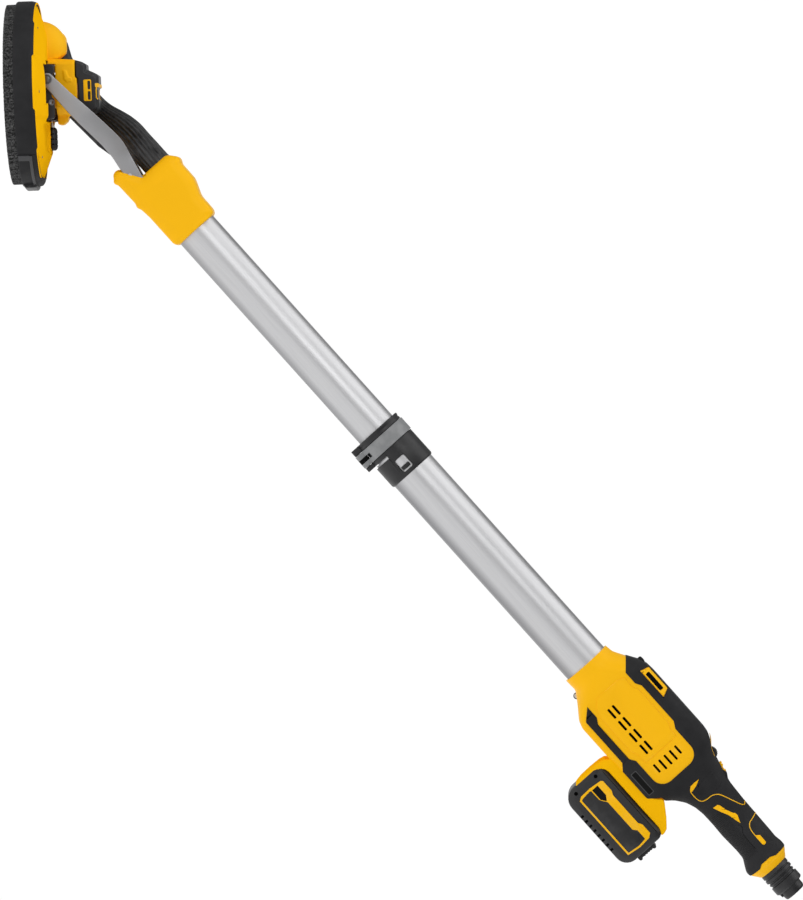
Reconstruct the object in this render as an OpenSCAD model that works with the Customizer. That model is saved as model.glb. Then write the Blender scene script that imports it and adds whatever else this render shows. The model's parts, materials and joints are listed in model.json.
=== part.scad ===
// Pole drywall sander with a telescoping tube, a gimballed sanding head and a slide-on battery.
// +X runs along the pole from the head to the hose outlet, +Z is up, and the left side is -Y.
// Lengths are millimetres, and the sander lies on the battery's base and the brush's lowest edge.

/* [Pole] */
// Height of the pole's axis above the surface the sander lies on
pole_z = 142.5; // [140:0.5:146]
// Outer diameter of the sliding tube
inner_tube_d = 58; // [54:0.5:58]
// Outer diameter of the fixed tube
outer_tube_d = 65; // [64:0.5:66]
// Wall of the sliding tube
tube_wall = 2; // [1.5:0.1:2.5]
// How far the sliding tube can be pushed in
slide_travel = 300; // [100:10:300]
// Free end of the fixed tube, inside the clamp
outer_tube_start = -4; // [-5:0.5:0]

/* [Telescope clamp] */
// Outer radius of the clamp's sleeve and ribs
clamp_r = 35; // [34.5:0.1:36]
// Outer radius of the lever band
lever_r = 36.4; // [36:0.1:37]
// Inner radius of the lever band
lever_bore_r = 32.4; // [32.2:0.1:33]
// Height of the lever's pin
lever_pin_z = 102; // [101:0.5:103]

/* [Handle] */
// Half of the housing's width
housing_half_w = 42; // [40:0.5:44]
// Radius of the grip
grip_r = 26; // [25:0.5:27]
// Height of the grip's axis
grip_z = 151; // [150:0.5:152]
// Thickness of the soft overmould
soft_t = 2; // [1.5:0.1:2.5]
// Wall of the moulded shells
shell_t = 3; // [2.5:0.1:3.5]
// Radius of the outlet's spigot
outlet_r = 15.7; // [15:0.1:16.5]
// Length of the outlet's spigot
outlet_len = 11; // [9:0.5:12]

/* [Battery] */
// Front end of the battery
battery_x = 492; // [491.9:0.1:493]
// Length of the battery
battery_len = 128.4; // [127:0.2:130]
// Half of the battery's width
battery_half_w = 41; // [40:0.5:42]
// Height of the battery under its rails
battery_h = 69; // [68:0.5:69]
// Radius of one cell
cell_r = 9.1; // [8.8:0.1:9.2]

/* [Sanding head] */
// Tilt of the head's disc against the pole
head_tilt = 40; // [38:1:42]
// Radius of the brush ring
brush_r = 120.5; // [119:0.5:121]
// Radius of the abrasive disc
disc_r = 112; // [108:0.5:112.5]
// Half of the angle that the edge gate spans
gate_half_angle = 48; // [40:1:50]

/* [Hidden] */
$fn = 64;
run_gap = 0.06;                 // radial clearance of a running fit
slide_gap = 0.5;                // radial gap between the two tubes
outer_bore_r = inner_tube_d / 2 + slide_gap;
outer_r = outer_tube_d / 2;
inner_r = inner_tube_d / 2;
socket_end = 430;               // end of the fixed tube inside the housing
inner_front = -480;             // front end of the sliding tube inside the pole head
inner_rear = socket_end - 40 - slide_travel;    // rear end of the sliding tube when fully out
head_x = -686;                  // origin of the head's own frame
head_z = 129.5;
pivot_a = 3.5;                  // pitch axis in the head's own frame
pivot_b = 4;
roll_b = pivot_b;               // the roll axis meets the pitch axis
disc_a = 20.5;                  // centre of the disc along the head's own x
motor_a = 20.5;
arm_in = 61;                    // inner face of an arm
arm_t = 5;
nose_in = 25;                   // inner face of an arm inside the pole head
arm_end = inner_front - 2;
// The brush's lowest edge touches the surface
brush_low = -(head_z - (disc_a + brush_r) * sin(head_tilt)) / cos(head_tilt);
head_front_x = head_x + (disc_a - brush_r) * cos(head_tilt) + brush_low * sin(head_tilt);
outlet_end = -head_front_x;     // the origin lies midway between both ends
outlet_z = 146.4;
duct_z = 148.5;
duct_r = 18;

// ---------- shared shapes ----------

// Cylinder along X at a height z
module xcyl(r, x0, x1, z = pole_z, y = 0) {
    translate([x0, y, z]) rotate([0, 90, 0]) cylinder(r = r, h = x1 - x0);
}

// Cylinder along Y, from y0 to y1
module ycyl(r, y0, y1, x, z) {
    translate([x, y1, z]) rotate([90, 0, 0]) cylinder(r = r, h = y1 - y0);
}

module box(x0, x1, y0, y1, z0, z1) {
    translate([x0, y0, z0]) cube([x1 - x0, y1 - y0, z1 - z0]);
}

// Side outline, drawn in X and Z, made solid from y0 to y1
module side_solid(y0, y1) {
    translate([0, y1, 0]) rotate([90, 0, 0]) linear_extrude(y1 - y0) children();
}

// Side outline made into a body whose long edges step in, full, middle and outer layers
module stepped(full, mid, outer, mid_in, outer_in, inset = 0) {
    side_solid(-full + inset, full - inset) offset(delta = -inset) children();
    side_solid(-mid + inset, mid - inset) offset(delta = -inset - mid_in) children();
    side_solid(-outer + inset, outer - inset) offset(delta = -inset - outer_in) children();
}

// Children placed in the head's own frame: x along the disc, z away from its face
module in_head() {
    translate([head_x, 0, head_z]) rotate([0, head_tilt, 0]) children();
}

// Cylinder square to the disc, in the head's own frame
module disc_cyl(r, b0, b1, a = disc_a, y = 0) {
    translate([a, y, b0]) cylinder(r = r, h = b1 - b0);
}

// Outline turned about the disc's axis
module disc_turn() {
    translate([disc_a, 0, 0]) rotate_extrude($fn = 128) children();
}

// The sector of the head that the edge gate fills, seen from above
module gate_sector(half_angle) {
    reach = 200;
    translate([disc_a, 0, -80]) linear_extrude(100)
        polygon([[0, 0],
            [reach * cos(half_angle), -reach * sin(half_angle)],
            [reach, 0],
            [reach * cos(half_angle), reach * sin(half_angle)]]);
}

module mirror_y() {
    children();
    mirror([0, 1, 0]) children();
}

// Half of a body, side -1 for the left and 1 for the right
module half(side) {
    intersection() {
        children();
        translate([-1000, side > 0 ? 0 : -200, -50]) cube([2000, 200, 400]);
    }
}

// Points of an arc, for an outline
function arc(cx, cz, r, a0, a1, n = 8) =
    [for (i = [0:n]) [cx + r * cos(a0 + (a1 - a0) * i / n), cz + r * sin(a0 + (a1 - a0) * i / n)]];

// ---------- tubes and clamp ----------

module outer_tube() color("silver") difference() {
    xcyl(outer_r, outer_tube_start, socket_end);
    xcyl(outer_bore_r, outer_tube_start - 1, socket_end + 1);
    box(18, 24.2, -outer_r - 1, -25, 134.5, 147.5);
}

module inner_tube() color("silver") difference() {
    xcyl(inner_r, inner_front, inner_rear);
    xcyl(inner_r - tube_wall, inner_front - 1, inner_rear + 1);
}

module glide_bush() color("dimgray") difference() {
    union() {
        xcyl(outer_bore_r - run_gap, inner_rear, inner_rear + 10);
        xcyl(inner_r - tube_wall, inner_rear - 15, inner_rear + 1);
    }
    xcyl(inner_r - tube_wall - 3, inner_rear - 16, inner_rear + 11);
}

lug_half_w = 9;
pin_y = -3;
pin_r = 2.5;

module clamp_collar() color("#2a2a2c") difference() {
    union() {
        xcyl(clamp_r, -5.4, 32.2);
        xcyl(clamp_r, -41.5, -32.2);
        xcyl(clamp_r, -12, -5.4);
        xcyl(lever_bore_r - 0.9, -32.3, -5.4);
        box(-41.5, -32.2, -lug_half_w, lug_half_w, 97.2, 120);
        box(-12, -5.4, -lug_half_w, lug_half_w, 97.2, 120);
    }
    xcyl(inner_r + run_gap, -42, -4);
    xcyl(outer_r, outer_tube_start, 33);
    // clamping slit, and the relief slot that frees the clamping part from the sleeve
    box(-42, -5, 0.5, 3.5, 90, 118);
    box(-5.4, -1.3, -40, 40, 90, 130.6);
    // window in the sleeve
    box(6.7, 26.1, -40, -20, 132.7, 149.4);
    xcyl(pin_r, -43, -4, lever_pin_z, pin_y);
}

module collar_key() color("#1c1c1e")
    box(18.2, 24, -34.6, -outer_bore_r - 0.4, 134.7, 147.4);

module lever_pin() color("gray") xcyl(pin_r, -40.5, -6, lever_pin_z, pin_y);

module clamp_lever() color("#8a8c8e") difference() {
    union() {
        difference() {
            xcyl(lever_r, -32, -12.2);
            xcyl(lever_bore_r, -33, -11);
            // open on the far side, from the top round to the lug
            box(-33, -11, -1, 40, 100, 190);
            box(-33, -11, -60, 40, 90, 106.5);
        }
        intersection() {
            box(-32, -12.2, -13, 0.8, 96.5, 112);
            difference() {
                xcyl(60, -32, -12.2);
                xcyl(lever_bore_r, -33, -11);
            }
        }
    }
    xcyl(pin_r + run_gap, -33, -11, lever_pin_z, pin_y);
    box(-24.8, -18.8, -40, 10, 90, 115.9);
}

// ---------- handle housing ----------

// Side outline of housing, grip and battery dock
module housing_outline() polygon(concat(
    [[379, 178], [390, 179.5], [406, 188.3], [415, 193.6], [433, 204], [546.7, 203.7],
     [560, 201.7], [573.5, 192.3], [587, 188.3], [613.7, 181.6], [627, 178.9], [654, 177.3]],
    [[707.5, 176.2], [721, 175.5], [730, 177.6], [738, 176.9], [738, 116.6], [731.6, 115.9],
     [723.6, 119.9], [714, 125.3], [700.8, 126], [674, 124.8], [654, 125.3], [633.8, 125.3],
     [620.4, 123.3], [607, 118.6], [593.6, 109.2], [584.2, 98.5]],
    [[616.4, 75.7], [619, 69.3], [491.7, 69.3], [491.7, 18], [485.8, 18], [485.8, 80]],
    [[439.5, 81.7], [428.8, 85.1], [412.7, 97.2], [396.6, 107.9], [379, 107]]));

// Part of the side outline that belongs to the wide housing
module wide_outline() intersection() {
    housing_outline();
    translate([379, 0]) square([247, 230]);
}

// Outer form of the housing before the grip, shrunk by inset
module wide_form(inset) intersection() {
    stepped(34, 38.5, housing_half_w, 5, 11, inset) wide_outline();
    // the housing narrows to the tube at the front and to the grip at the rear
    translate([0, 0, -50]) linear_extrude(300) offset(delta = -inset) polygon([
        [370, -35.3], [394, -35.3], [418, -housing_half_w], [560, -housing_half_w],
        [640, -grip_r], [640, grip_r], [560, housing_half_w], [418, housing_half_w],
        [394, 35.3], [370, 35.3]]);
}

// Outer form of the whole handle, shrunk by inset
module handle_form(inset = 0) {
    wide_form(inset);
    grip_form(inset);
}

module grip_form(inset) {
    xcyl(grip_r - inset, 600, 725, grip_z);
    translate([722, 0, 146.8]) rotate([0, 90, 0]) cylinder(r1 = 26 - inset, r2 = 30.1 - inset, h = 8);
    xcyl(30.1 - inset, 730, 738, 146.8);
}

// Area of the side view that the soft overmould covers
module soft_zone() side_solid(-60, 60) polygon(concat(
    [[402, 194], [402, 230], [760, 230], [760, 99], [581.5, 99], [569.5, 81.7], [520.5, 81.7],
     [511, 90.5], [439, 90.5], [425, 105.2], [443, 105.2], [451, 100.5], [513.5, 100.5],
     [521.5, 105.9]],
    arc(555, 123.4, 17.5, -90, 0), arc(555, 155.4, 17.5, 0, 90),
    [[524.5, 172.9], [515, 178.2], [451, 178.2], [443, 173.5], [424, 173.5]]));

grip_cavity_r = grip_r - soft_t - shell_t;

module handle_cavity() {
    intersection() {
        wide_form(soft_t + shell_t);
        box(432, 640, -60, 60, 82.5, 210);
    }
    xcyl(outer_r, 378, 441);
    xcyl(grip_cavity_r, 600, 735, grip_z);
    xcyl(duct_r, 734, 740, duct_z);
}

// Openings through shell and overmould for the vents, the controls and the battery's rails
module handle_openings() {
    mirror_y() box(434.7, 482.3, 27.5, 60, 189.4, 202.2);
    ycyl(9.6, -6.5, 6.5, 580, 186.5);
    translate([600, 0, 184.9]) rotate([0, 14, 0]) translate([-11.5, -8.3, -8]) cube([23.5, 16.6, 20]);
    box(496, 640, -30, 30, 60, 80.3);
    box(514.8, 550.2, -10.2, 10.2, 79, 84);
    mirror_y() for (row = [0, 1], col = [0:3])
        box(446 + col * 21.3, 462 + col * 21.3, 20, 60, 122.6 + row * 8, 126 + row * 8);
    mirror_y() for (row = [0:4])
        box(539, 555, 20, 60, 118.5 + row * 9.6, 122 + row * 9.6);
    for (p = screw_places) ycyl(screw_r, -45, 45, p[0], p[1]);
}

screw_places = [[404, 103.5], [427, 179.5], [434, 95], [553, 189], [569, 108], [480, 87]];
screw_r = 2;

module handle_shell(side) half(side) difference() {
    union() {
        difference() {
            handle_form();
            soft_zone();
        }
        handle_form(soft_t);
    }
    handle_cavity();
    handle_openings();
}

module handle_soft(side) half(side) difference() {
    intersection() {
        handle_form();
        soft_zone();
    }
    handle_form(soft_t);
    handle_openings();
    box(0, 900, -50, 50, 0, 81.75);
}

module housing_left() color("gold") handle_shell(-1);
module housing_right() color("gold") handle_shell(1);
module overmold_left() color("#2b2b2d") handle_soft(-1);
module overmold_right() color("#2b2b2d") handle_soft(1);

module vent_frames() color("gold") mirror_y() difference() {
    side_solid(27.6, 33.5)
        polygon([[435, 189.6], [439, 201.8], [477, 201.8], [482, 189.6]]);
    box(442, 474, 20, 40, 192.3, 198.3);
}

module housing_screws() color("gray")
    for (p = screw_places) ycyl(screw_r, -30, 22, p[0], p[1]);

module control_module() color("seagreen") box(455, 530, -27, 27, 169, 185);

module terminal_block() color("#303030") union() {
    box(505, 560, -14, 14, 71, 80.3);
    box(512, 553, -22, 22, 82.6, 92);
    box(515, 550, -10, 10, 80, 83);
}

module rear_duct() color("dimgray") difference() {
    xcyl(duct_r, 435, 738, duct_z);
    xcyl(duct_r - 1.5, 434, 739, duct_z);
}

module duct_seal() color("#151515") difference() {
    xcyl(outer_r, socket_end, 440.5);
    xcyl(duct_r, 435, 441, duct_z);
    xcyl(duct_r - 1.5, 429, 441, duct_z);
}

module end_ring() color("gold") difference() {
    translate([738, 0, 146.8]) rotate([0, 90, 0]) cylinder(r1 = 30.1, r2 = 22, h = 13.7);
    xcyl(duct_r - 0.2, 737, 753, outlet_z);
}

module hose_connector() color("#232325") difference() {
    union() {
        xcyl(duct_r - 0.2, 738.2, 752, outlet_z);
        xcyl(21, 751.9, outlet_end - outlet_len, outlet_z);
        xcyl(outlet_r, outlet_end - outlet_len - 1, outlet_end, outlet_z);
    }
    xcyl(outlet_r - 2.2, 737, outlet_end + 1, outlet_z);
    for (x = [755.8, 765.3, 770.3]) difference() {
        xcyl(22, x, x + 1.6, outlet_z);
        xcyl(19.8, x - 1, x + 3, outlet_z);
    }
}

module speed_dial() color("#1b1b1d") ycyl(9.3, -6, 6, 580, 186.5);

module power_switch() color("gold")
    translate([600, 0, 184.9]) rotate([0, 14, 0]) translate([-4, -8, -4]) cube([15, 16, 8.2]);

// ---------- battery ----------

battery_end = battery_x + battery_len;
latch_in = 615;                 // inner face of the release button's pocket

// Side outline of the battery with rounded lower corners, as high as top
module battery_outline(top, r = 14) {
    translate([battery_x + r, 0]) square([battery_len - 2 * r, top]);
    translate([battery_x, r]) square([battery_len, top - r]);
    translate([battery_x + r, r]) circle(r);
    translate([battery_end - r, r]) circle(r);
}

module battery_case() color("#2c2c2e") difference() {
    union() {
        side_solid(-battery_half_w + 4, battery_half_w - 4) battery_outline(52);
        side_solid(-battery_half_w, battery_half_w)
            translate([4, 4]) intersection() {
                translate([-4, 0]) battery_outline(48);
                translate([battery_x, 0]) square([battery_len - 8, 60]);
            }
    }
    box(battery_x + 5, 611, -36, 36, 3.5, 60);
    box(latch_in, 640, -18.3, 18.3, 19.7, 60);
}

module battery_top() color("#2c2c2e") difference() {
    union() {
        box(battery_x, battery_end, -battery_half_w + 4, battery_half_w - 4, 52.1, battery_h);
        box(battery_x + 4, battery_end - 4, -battery_half_w, battery_half_w, 52.1, battery_h - 4);
        mirror_y() box(500, 605, 17, 22, battery_h - 1, 78.5);
        mirror_y() box(500, 605, 17, 27, 74.5, 78.5);
    }
    box(battery_x + 5, 611, -34, 34, 50, battery_h - 3.5);
    box(latch_in, 640, -18.3, 18.3, 50, 53);
}

module battery_cells() color("steelblue")
    for (row = [0, 1], col = [0:4])
        ycyl(cell_r, -32.5, 32.5, 509 + col * 22.5, 3.6 + cell_r + row * (2 * cell_r + 0.4));

module battery_board() color("seagreen") union() {
    box(500, 604, -30, 30, 45, 47);
    mirror_y() for (i = [0:3]) box(505, 520, 3 + i * 6, 4.2 + i * 6, 46.5, 62);
}

module battery_latch() color("#202022") box(latch_in + 3.3, 625, -18, 18, 20.2, 49.8);

// ---------- pole head and arms ----------

module pole_head_outline() polygon(concat(
    [[-400.7, 107.9], [-400.7, 177.6], [-431.5, 177.6], [-455.6, 186.9], [-483.7, 186.9],
     [-490, 190.3], [-501, 181.6], [-502.5, 178], [-502.5, 137.4]],
    arc(-522.6, 114.6, 8.7, 115, 270, 10),
    [[-524, 104.5], [-519.9, 101.8], [-515, 104.8], [-481, 105.6], [-475.7, 103.2],
     [-470, 106], [-455, 107.5]]));

module pole_head_form(inset = 0) stepped(23, 30, 35.2, 3, 9, inset) pole_head_outline();

head_screw_places = [[-475.7, 108], [-519.9, 107.6], [-470, 180.5], [-420, 109.9]];

module pole_head_half(side) half(side) difference() {
    pole_head_form();
    xcyl(inner_r, inner_front, -400);
    // dust passage from the hose to the tube
    xcyl(26, -494, inner_front + 1, 146);
    xcyl(20, -504, -482, 161.8);
    xcyl(22.6, -504, -498, 161.8);
    mirror_y() box(-533, arm_end + 0.2, nose_in - 0.2, nose_in + arm_t + 0.2, 113.5, 142);
    for (p = head_screw_places) ycyl(1.8, -36, 36, p[0], p[1]);
    for (x = arm_bolt_x) ycyl(arm_bolt_r, -36, 36, x, 126);
}

module pole_head_left() color("gold") pole_head_half(-1);
module pole_head_right() color("gold") pole_head_half(1);

module pole_head_screws() color("gray")
    for (p = head_screw_places) ycyl(1.8, -20, 20, p[0], p[1]);

arm_bolt_x = [-514, -492];
arm_bolt_r = 2.5;

// Plan of one arm: straight beside the head, then bent in to the pole head, shifted out by d
module arm_plan(d, t) polygon([
    [-710, arm_in + d], [-612, arm_in + d], [-537, nose_in + d], [arm_end, nose_in + d],
    [arm_end, nose_in + d + t], [-536, nose_in + d + t], [-611, arm_in + d + t],
    [-710, arm_in + d + t]]);

pivot_x = head_x + pivot_a * cos(head_tilt) + pivot_b * sin(head_tilt);
pivot_z = head_z - pivot_a * sin(head_tilt) + pivot_b * cos(head_tilt);

module arm_side() polygon(concat(
    [[-632, 142.4], [-569, 148.3], [-558, 148.9], [-537, 145.4], [-502.5, 137.4],
     [-468, 136], [-468, 118], [-529.3, 121.3], [-548, 124.6], [-569, 125.3], [-624, 121.6]],
    arc(pivot_x, pivot_z, 8.4, 270, 95, 16)));

module arm(side) color("#98999b") mirror([0, side > 0 ? 0 : 1, 0])
    difference() {
        intersection() {
            linear_extrude(200) arm_plan(0, arm_t);
            side_solid(0, 90) arm_side();
        }
        ycyl(6.5, 50, 80, pivot_x, pivot_z);
        for (x = arm_bolt_x) ycyl(arm_bolt_r, 0, 40, x, 126);
    }

module arm_left() arm(-1);
module arm_right() arm(1);

module arm_bolts() color("gray")
    for (x = arm_bolt_x) ycyl(arm_bolt_r, -31, 31, x, 126);

module pivot_bushes() color("#c9b26a") mirror_y() difference() {
    ycyl(6.5, arm_in, arm_in + arm_t, pivot_x, pivot_z);
    ycyl(5 + run_gap, arm_in - 1, arm_in + arm_t + 1, pivot_x, pivot_z);
}

module hose_gland() color("#1d1d1f") difference() {
    xcyl(22.5, -506, -498, 161.8);
    xcyl(19.8, -507, -497, 161.8);
}

// Cable cover along the inner side of the left arm
module cable_channel() color("#1d1d1f") mirror([0, 1, 0]) intersection() {
    linear_extrude(200) arm_plan(-6, 5.2);
    side_solid(0, 90) polygon([[-624, 118.4], [-570, 120.6], [-552, 124.4], [-570, 132],
        [-624, 128]]);
}

// ---------- dust hose ----------

// Centre, half width and half height along the hose
hose_rear_route = [
    [-498, 0, 161.8, 19.7, 19.7], [-515, 0, 161.8, 19.7, 19.7], [-530, 1.5, 161.9, 19.7, 19.7],
    [-545, 5, 162, 19.5, 19.6], [-560, 11.5, 161.8, 19, 19.4], [-575, 20, 160.2, 17.8, 18.2],
    [-590, 29.5, 157.4, 15.6, 16.4], [-600, 37.5, 155.2, 13.6, 14.4],
    [-609, 44.4, 153.8, 12.7, 13], [-620, 46, 153.2, 12.6, 12.4]];
hose_front_route = [
    [-620, 46, 153.2, 12.6, 12.4], [-632, 46.6, 153.6, 12.5, 12], [-645, 46.6, 154.5, 12.4, 12],
    [-658, 46.3, 155.7, 12.3, 12], [-671, 45.5, 157.1, 12.1, 12]];

hose_sides = 12;

// Rings of the hose stand square to X, and the tube is closed at both ends
module hose(route) {
    n = len(route);
    points = [for (p = route, k = [0:hose_sides - 1])
        [p[0], p[1] + p[3] * cos(k * 360 / hose_sides), p[2] + p[4] * sin(k * 360 / hose_sides)]];
    walls = [for (i = [0:n - 2], k = [0:hose_sides - 1])
        [i * hose_sides + k, i * hose_sides + (k + 1) % hose_sides,
         (i + 1) * hose_sides + (k + 1) % hose_sides, (i + 1) * hose_sides + k]];
    first = [for (k = [hose_sides - 1:-1:0]) k];
    last = [for (k = [0:hose_sides - 1]) (n - 1) * hose_sides + k];
    polyhedron(points, concat(walls, [first, last]));
}

module hose_rear() color("#161617") hose(hose_rear_route);
module hose_front() color("#161617") hose(hose_front_route);

// ---------- gimbal, in the head's own frame ----------

rail_in = 53;
rail_out = 60;
ring_front = 57;
ring_rear = -17;
pin_roll_r = 4;

module gimbal_ring() color("#1a1a1c") in_head() difference() {
    union() {
        mirror_y() box(ring_rear, ring_front, rail_in, rail_out, -6, 9);
        mirror_y() ycyl(9, rail_in, rail_out, pivot_a, pivot_b);
        for (a = [ring_rear, ring_front - 10]) {
            box(a, a + 10, -rail_in - 1, rail_in + 1, -6, 1.8);
            xcyl(6.5, a, a + 10, roll_b);
        }
        // raised blocks on the left rail
        box(ring_rear, -4, -rail_out, -rail_in, 0, 14);
        box(28, ring_front, -rail_out, -rail_in, 0, 13);
    }
    mirror_y() ycyl(pin_roll_r, 40, 70, pivot_a, pivot_b);
    xcyl(pin_roll_r, ring_rear - 1, ring_front + 1, roll_b);
    // room for the elbow as the head rolls
    box(ring_rear - 1, -6, rail_in - 1, rail_out + 1, 5, 20);
}

module pivot_screws() color("gray") in_head() mirror_y() {
    ycyl(8, arm_in + arm_t + 0.2, arm_in + arm_t + 2.2, pivot_a, pivot_b);
    ycyl(5, rail_out, arm_in + arm_t + 0.3, pivot_a, pivot_b);
    ycyl(pin_roll_r, rail_in, rail_out + 1, pivot_a, pivot_b);
}

module roll_pins() color("silver") in_head() {
    xcyl(pin_roll_r, ring_rear, 9, roll_b);
    xcyl(pin_roll_r, 31, ring_front, roll_b);
    xcyl(3, ring_front - 1, 79, roll_b);
}

module roll_knob() color("#1b1b1d") in_head() difference() {
    union() {
        xcyl(6.3, 66, 97, roll_b);
        for (k = [0:5]) translate([0, 4.6 * cos(k * 60), 4.6 * sin(k * 60)])
            xcyl(2.6, 68, 95, roll_b);
    }
    xcyl(3 + run_gap, 65, 81, roll_b);
}

// ---------- sanding head, in its own frame ----------

flat_b = 3;                     // flat top of the cover
flat_r = 80;
rim_b = -12;
rim_r = 118;
tray_b = -25;                   // floor of the pocket round the gimbal
tray_t = 2.5;
housing_half = 33;

module cover_outer() disc_turn()
    polygon([[0, flat_b], [flat_r, flat_b], [rim_r, rim_b], [121, rim_b], [121, rim_b - 3],
        [0, rim_b - 3]]);

module cover_inner() disc_turn()
    polygon([[0, flat_b - 3], [flat_r - 1, flat_b - 3], [rim_r - 1.5, rim_b - 3],
        [rim_r - 1.5, rim_b - 4], [0, rim_b - 4]]);

// Pocket for gimbal and arms, and the groove for the roll knob
module cover_pocket(grow) {
    box(-22 - grow, 60 + grow, -73 - grow, 73 + grow, tray_b - grow, 20);
    box(-16 - grow, 36 + grow, -84 - grow, 84 + grow, tray_b - grow, 20);
    box(55, 101 + grow, -11 - grow, 11 + grow, -5 - grow, 20);
}

module head_cover() color("gold") in_head() difference() {
    union() {
        difference() {
            cover_outer();
            cover_inner();
        }
        intersection() {
            cover_pocket(tray_t);
            union() {
                cover_outer();
                disc_cyl(110, tray_b - tray_t, 0);
            }
        }
    }
    cover_pocket(0);
    disc_cyl(14, tray_b - 4, tray_b + 1, motor_a);
    disc_cyl(21, -20, 20, -50);
    for (p = cover_screws) disc_cyl(2, -20, 20, p[0], p[1]);
}

cover_screws = [for (t = [35, 90, 145, 215, 270, 325])
    [disc_a + 104 * cos(t), 104 * sin(t)]];

module skirt_outline(out = 0) polygon([
    [121, -10.2], [122.5 + out, -11], [124.5 + out, -17], [124.5 + out, -36],
    [123.5 + out, -38], [117.5, -38], [117.5, -34], [121, -34]]);

module skirt() color("#2b2b2d") in_head() difference() {
    disc_turn() skirt_outline();
    gate_sector(gate_half_angle);
}

module brush_turn() disc_turn()
    polygon([[113.5, brush_low], [brush_r, brush_low], [brush_r, -38], [113.5, -38]]);

module brush_ring() color("#1a1a1a") in_head() difference() {
    brush_turn();
    gate_sector(gate_half_angle);
}

module edge_gate() color("#2f2f31") in_head() intersection() {
    union() {
        disc_turn() skirt_outline(0.4);
        intersection() {
            disc_turn() polygon([[124, -17], [129.4, -17], [129.4, -32], [124, -36]]);
            gate_sector(14);
        }
        difference() {
            disc_turn() polygon([[124, -17.5], [125.9, -17.5], [125.9, -37], [124, -37]]);
            disc_turn() polygon([[120, -21.5], [127, -21.5], [127, -38], [120, -38]]);
        }
    }
    gate_sector(gate_half_angle - 0.3);
}

module gate_brush() color("#1a1a1a") in_head() intersection() {
    brush_turn();
    gate_sector(gate_half_angle - 0.3);
}

// Hollow ball from a little below its middle up to its top
module ball_shell(r, t) rotate_extrude()
    polygon(concat(arc(0, 0, r, -12, 90, 12), arc(0, 0, r - t, 90, -12, 12)));

module dust_port() color("gold") in_head() difference() {
    translate([-50, 0, 0]) ball_shell(27, 3);
    disc_turn() polygon([[0, flat_b], [flat_r, flat_b], [rim_r, rim_b], [140, rim_b],
        [140, -60], [0, -60]]);
    box(-27.6, 10, -40, 40, -40, 60);
    translate([-49, 0, 13.7]) rotate([-90, 0, 0]) cylinder(r = 10.8, h = 40);
}

// Elbow from the dust port's right side, round to the hose
elbow_end = [-34, 43.5, 19.5];
elbow_route = [[-49, 24.5, 13.7], [-47, 34, 15], [-42, 41, 17], elbow_end];

module dust_elbow() color("#1c1c1e") {
    in_head() for (i = [0:len(elbow_route) - 2]) hull() {
        translate(elbow_route[i]) sphere(r = 10.5, $fn = 24);
        translate(elbow_route[i + 1]) sphere(r = 10.5, $fn = 24);
    }
    hull() {
        in_head() translate(elbow_end) sphere(r = 10.5, $fn = 24);
        translate([-676, 45.5, 157.4]) rotate([0, 90, 0]) cylinder(r = 12, h = 4.8, $fn = 32);
    }
}

module motor_side() polygon([[-26, 3.1], [-23, 39], [0, 38.5], [3, 41], [46, 41], [50, 33],
    [56, 25], [62, 20], [63, 15], [60, 12.6], [-18, 12.6], [-18, 3.1]]);

module motor_housing() color("gold") in_head() difference() {
    union() {
        intersection() {
            side_solid(-housing_half, housing_half) motor_side();
            union() {
                box(-30, 46.5, -housing_half, housing_half, 0, 60);
                box(40, 70, -14, 14, 0, 60);
            }
            translate([0, 0, -50]) linear_extrude(150) polygon([
                [-27, -24], [-18, -housing_half], [40, -housing_half], [47, -24], [70, -24],
                [70, 24], [47, 24], [40, housing_half], [-18, housing_half], [-27, 24]]);
        }
        disc_cyl(20, tray_b, 13, motor_a);
    }
    disc_cyl(7, tray_b - 1, 20, motor_a);
    disc_cyl(11, -20, -13, motor_a);
    disc_cyl(28, 15.5, 60, motor_a);
    xcyl(pin_roll_r + run_gap, -2, 10, roll_b);
    xcyl(pin_roll_r + run_gap, 30, 42, roll_b);
}

module cap_side() polygon([[-22.6, 39.2], [-20, 48], [-16, 54], [-9, 54], [-5, 63], [0, 70],
    [30, 70], [33, 69.5], [45, 69], [49, 62], [49, 41.2], [3, 41.2], [0, 38.9]]);

module motor_cap() color("#2b2b2d") in_head() difference() {
    union() {
        side_solid(-24, 24) cap_side();
        side_solid(-31, 31) intersection() {
            cap_side();
            translate([-19, 38]) square([65, 27]);
        }
    }
    disc_cyl(28, 38, 62, motor_a);
    disc_cyl(11, 61, 66.4, motor_a);
    mirror_y() box(2.8, 32.2, 28.6, 40, 47.3, 58.2);
    box(8, 33, -12, 12, 67.6, 75);
}

module motor_vents() color("gold") in_head() {
    mirror_y() difference() {
        box(3, 32, 28.8, 32.4, 47.5, 58);
        box(6, 16.4, 28, 33, 52, 56.6);
        box(19, 30, 28, 33, 52, 56.6);
    }
    difference() {
        box(8.2, 32.8, -11.8, 11.8, 67.8, 70.4);
        for (i = [0:2]) box(11 + i * 7, 15 + i * 7, -8, 8, 67, 72);
    }
}

module stator() color("#8a5a2b") in_head() difference() {
    disc_cyl(28, 18, 46, motor_a);
    disc_cyl(16, 17, 47, motor_a);
}

module spindle_bearings() color("silver") in_head() {
    difference() {
        disc_cyl(11, -20, -13, motor_a);
        disc_cyl(5, -21, -12, motor_a);
    }
    difference() {
        disc_cyl(11, 62.2, 66.3, motor_a);
        disc_cyl(5, 61, 67, motor_a);
    }
}

module head_screws() color("gray") in_head() for (p = cover_screws)
    disc_cyl(2, -14.5, -3, p[0], p[1]);

// ---------- spindle and pad, in the head's own frame ----------

pad_top = -33;
pad_low = -48.2;

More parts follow.
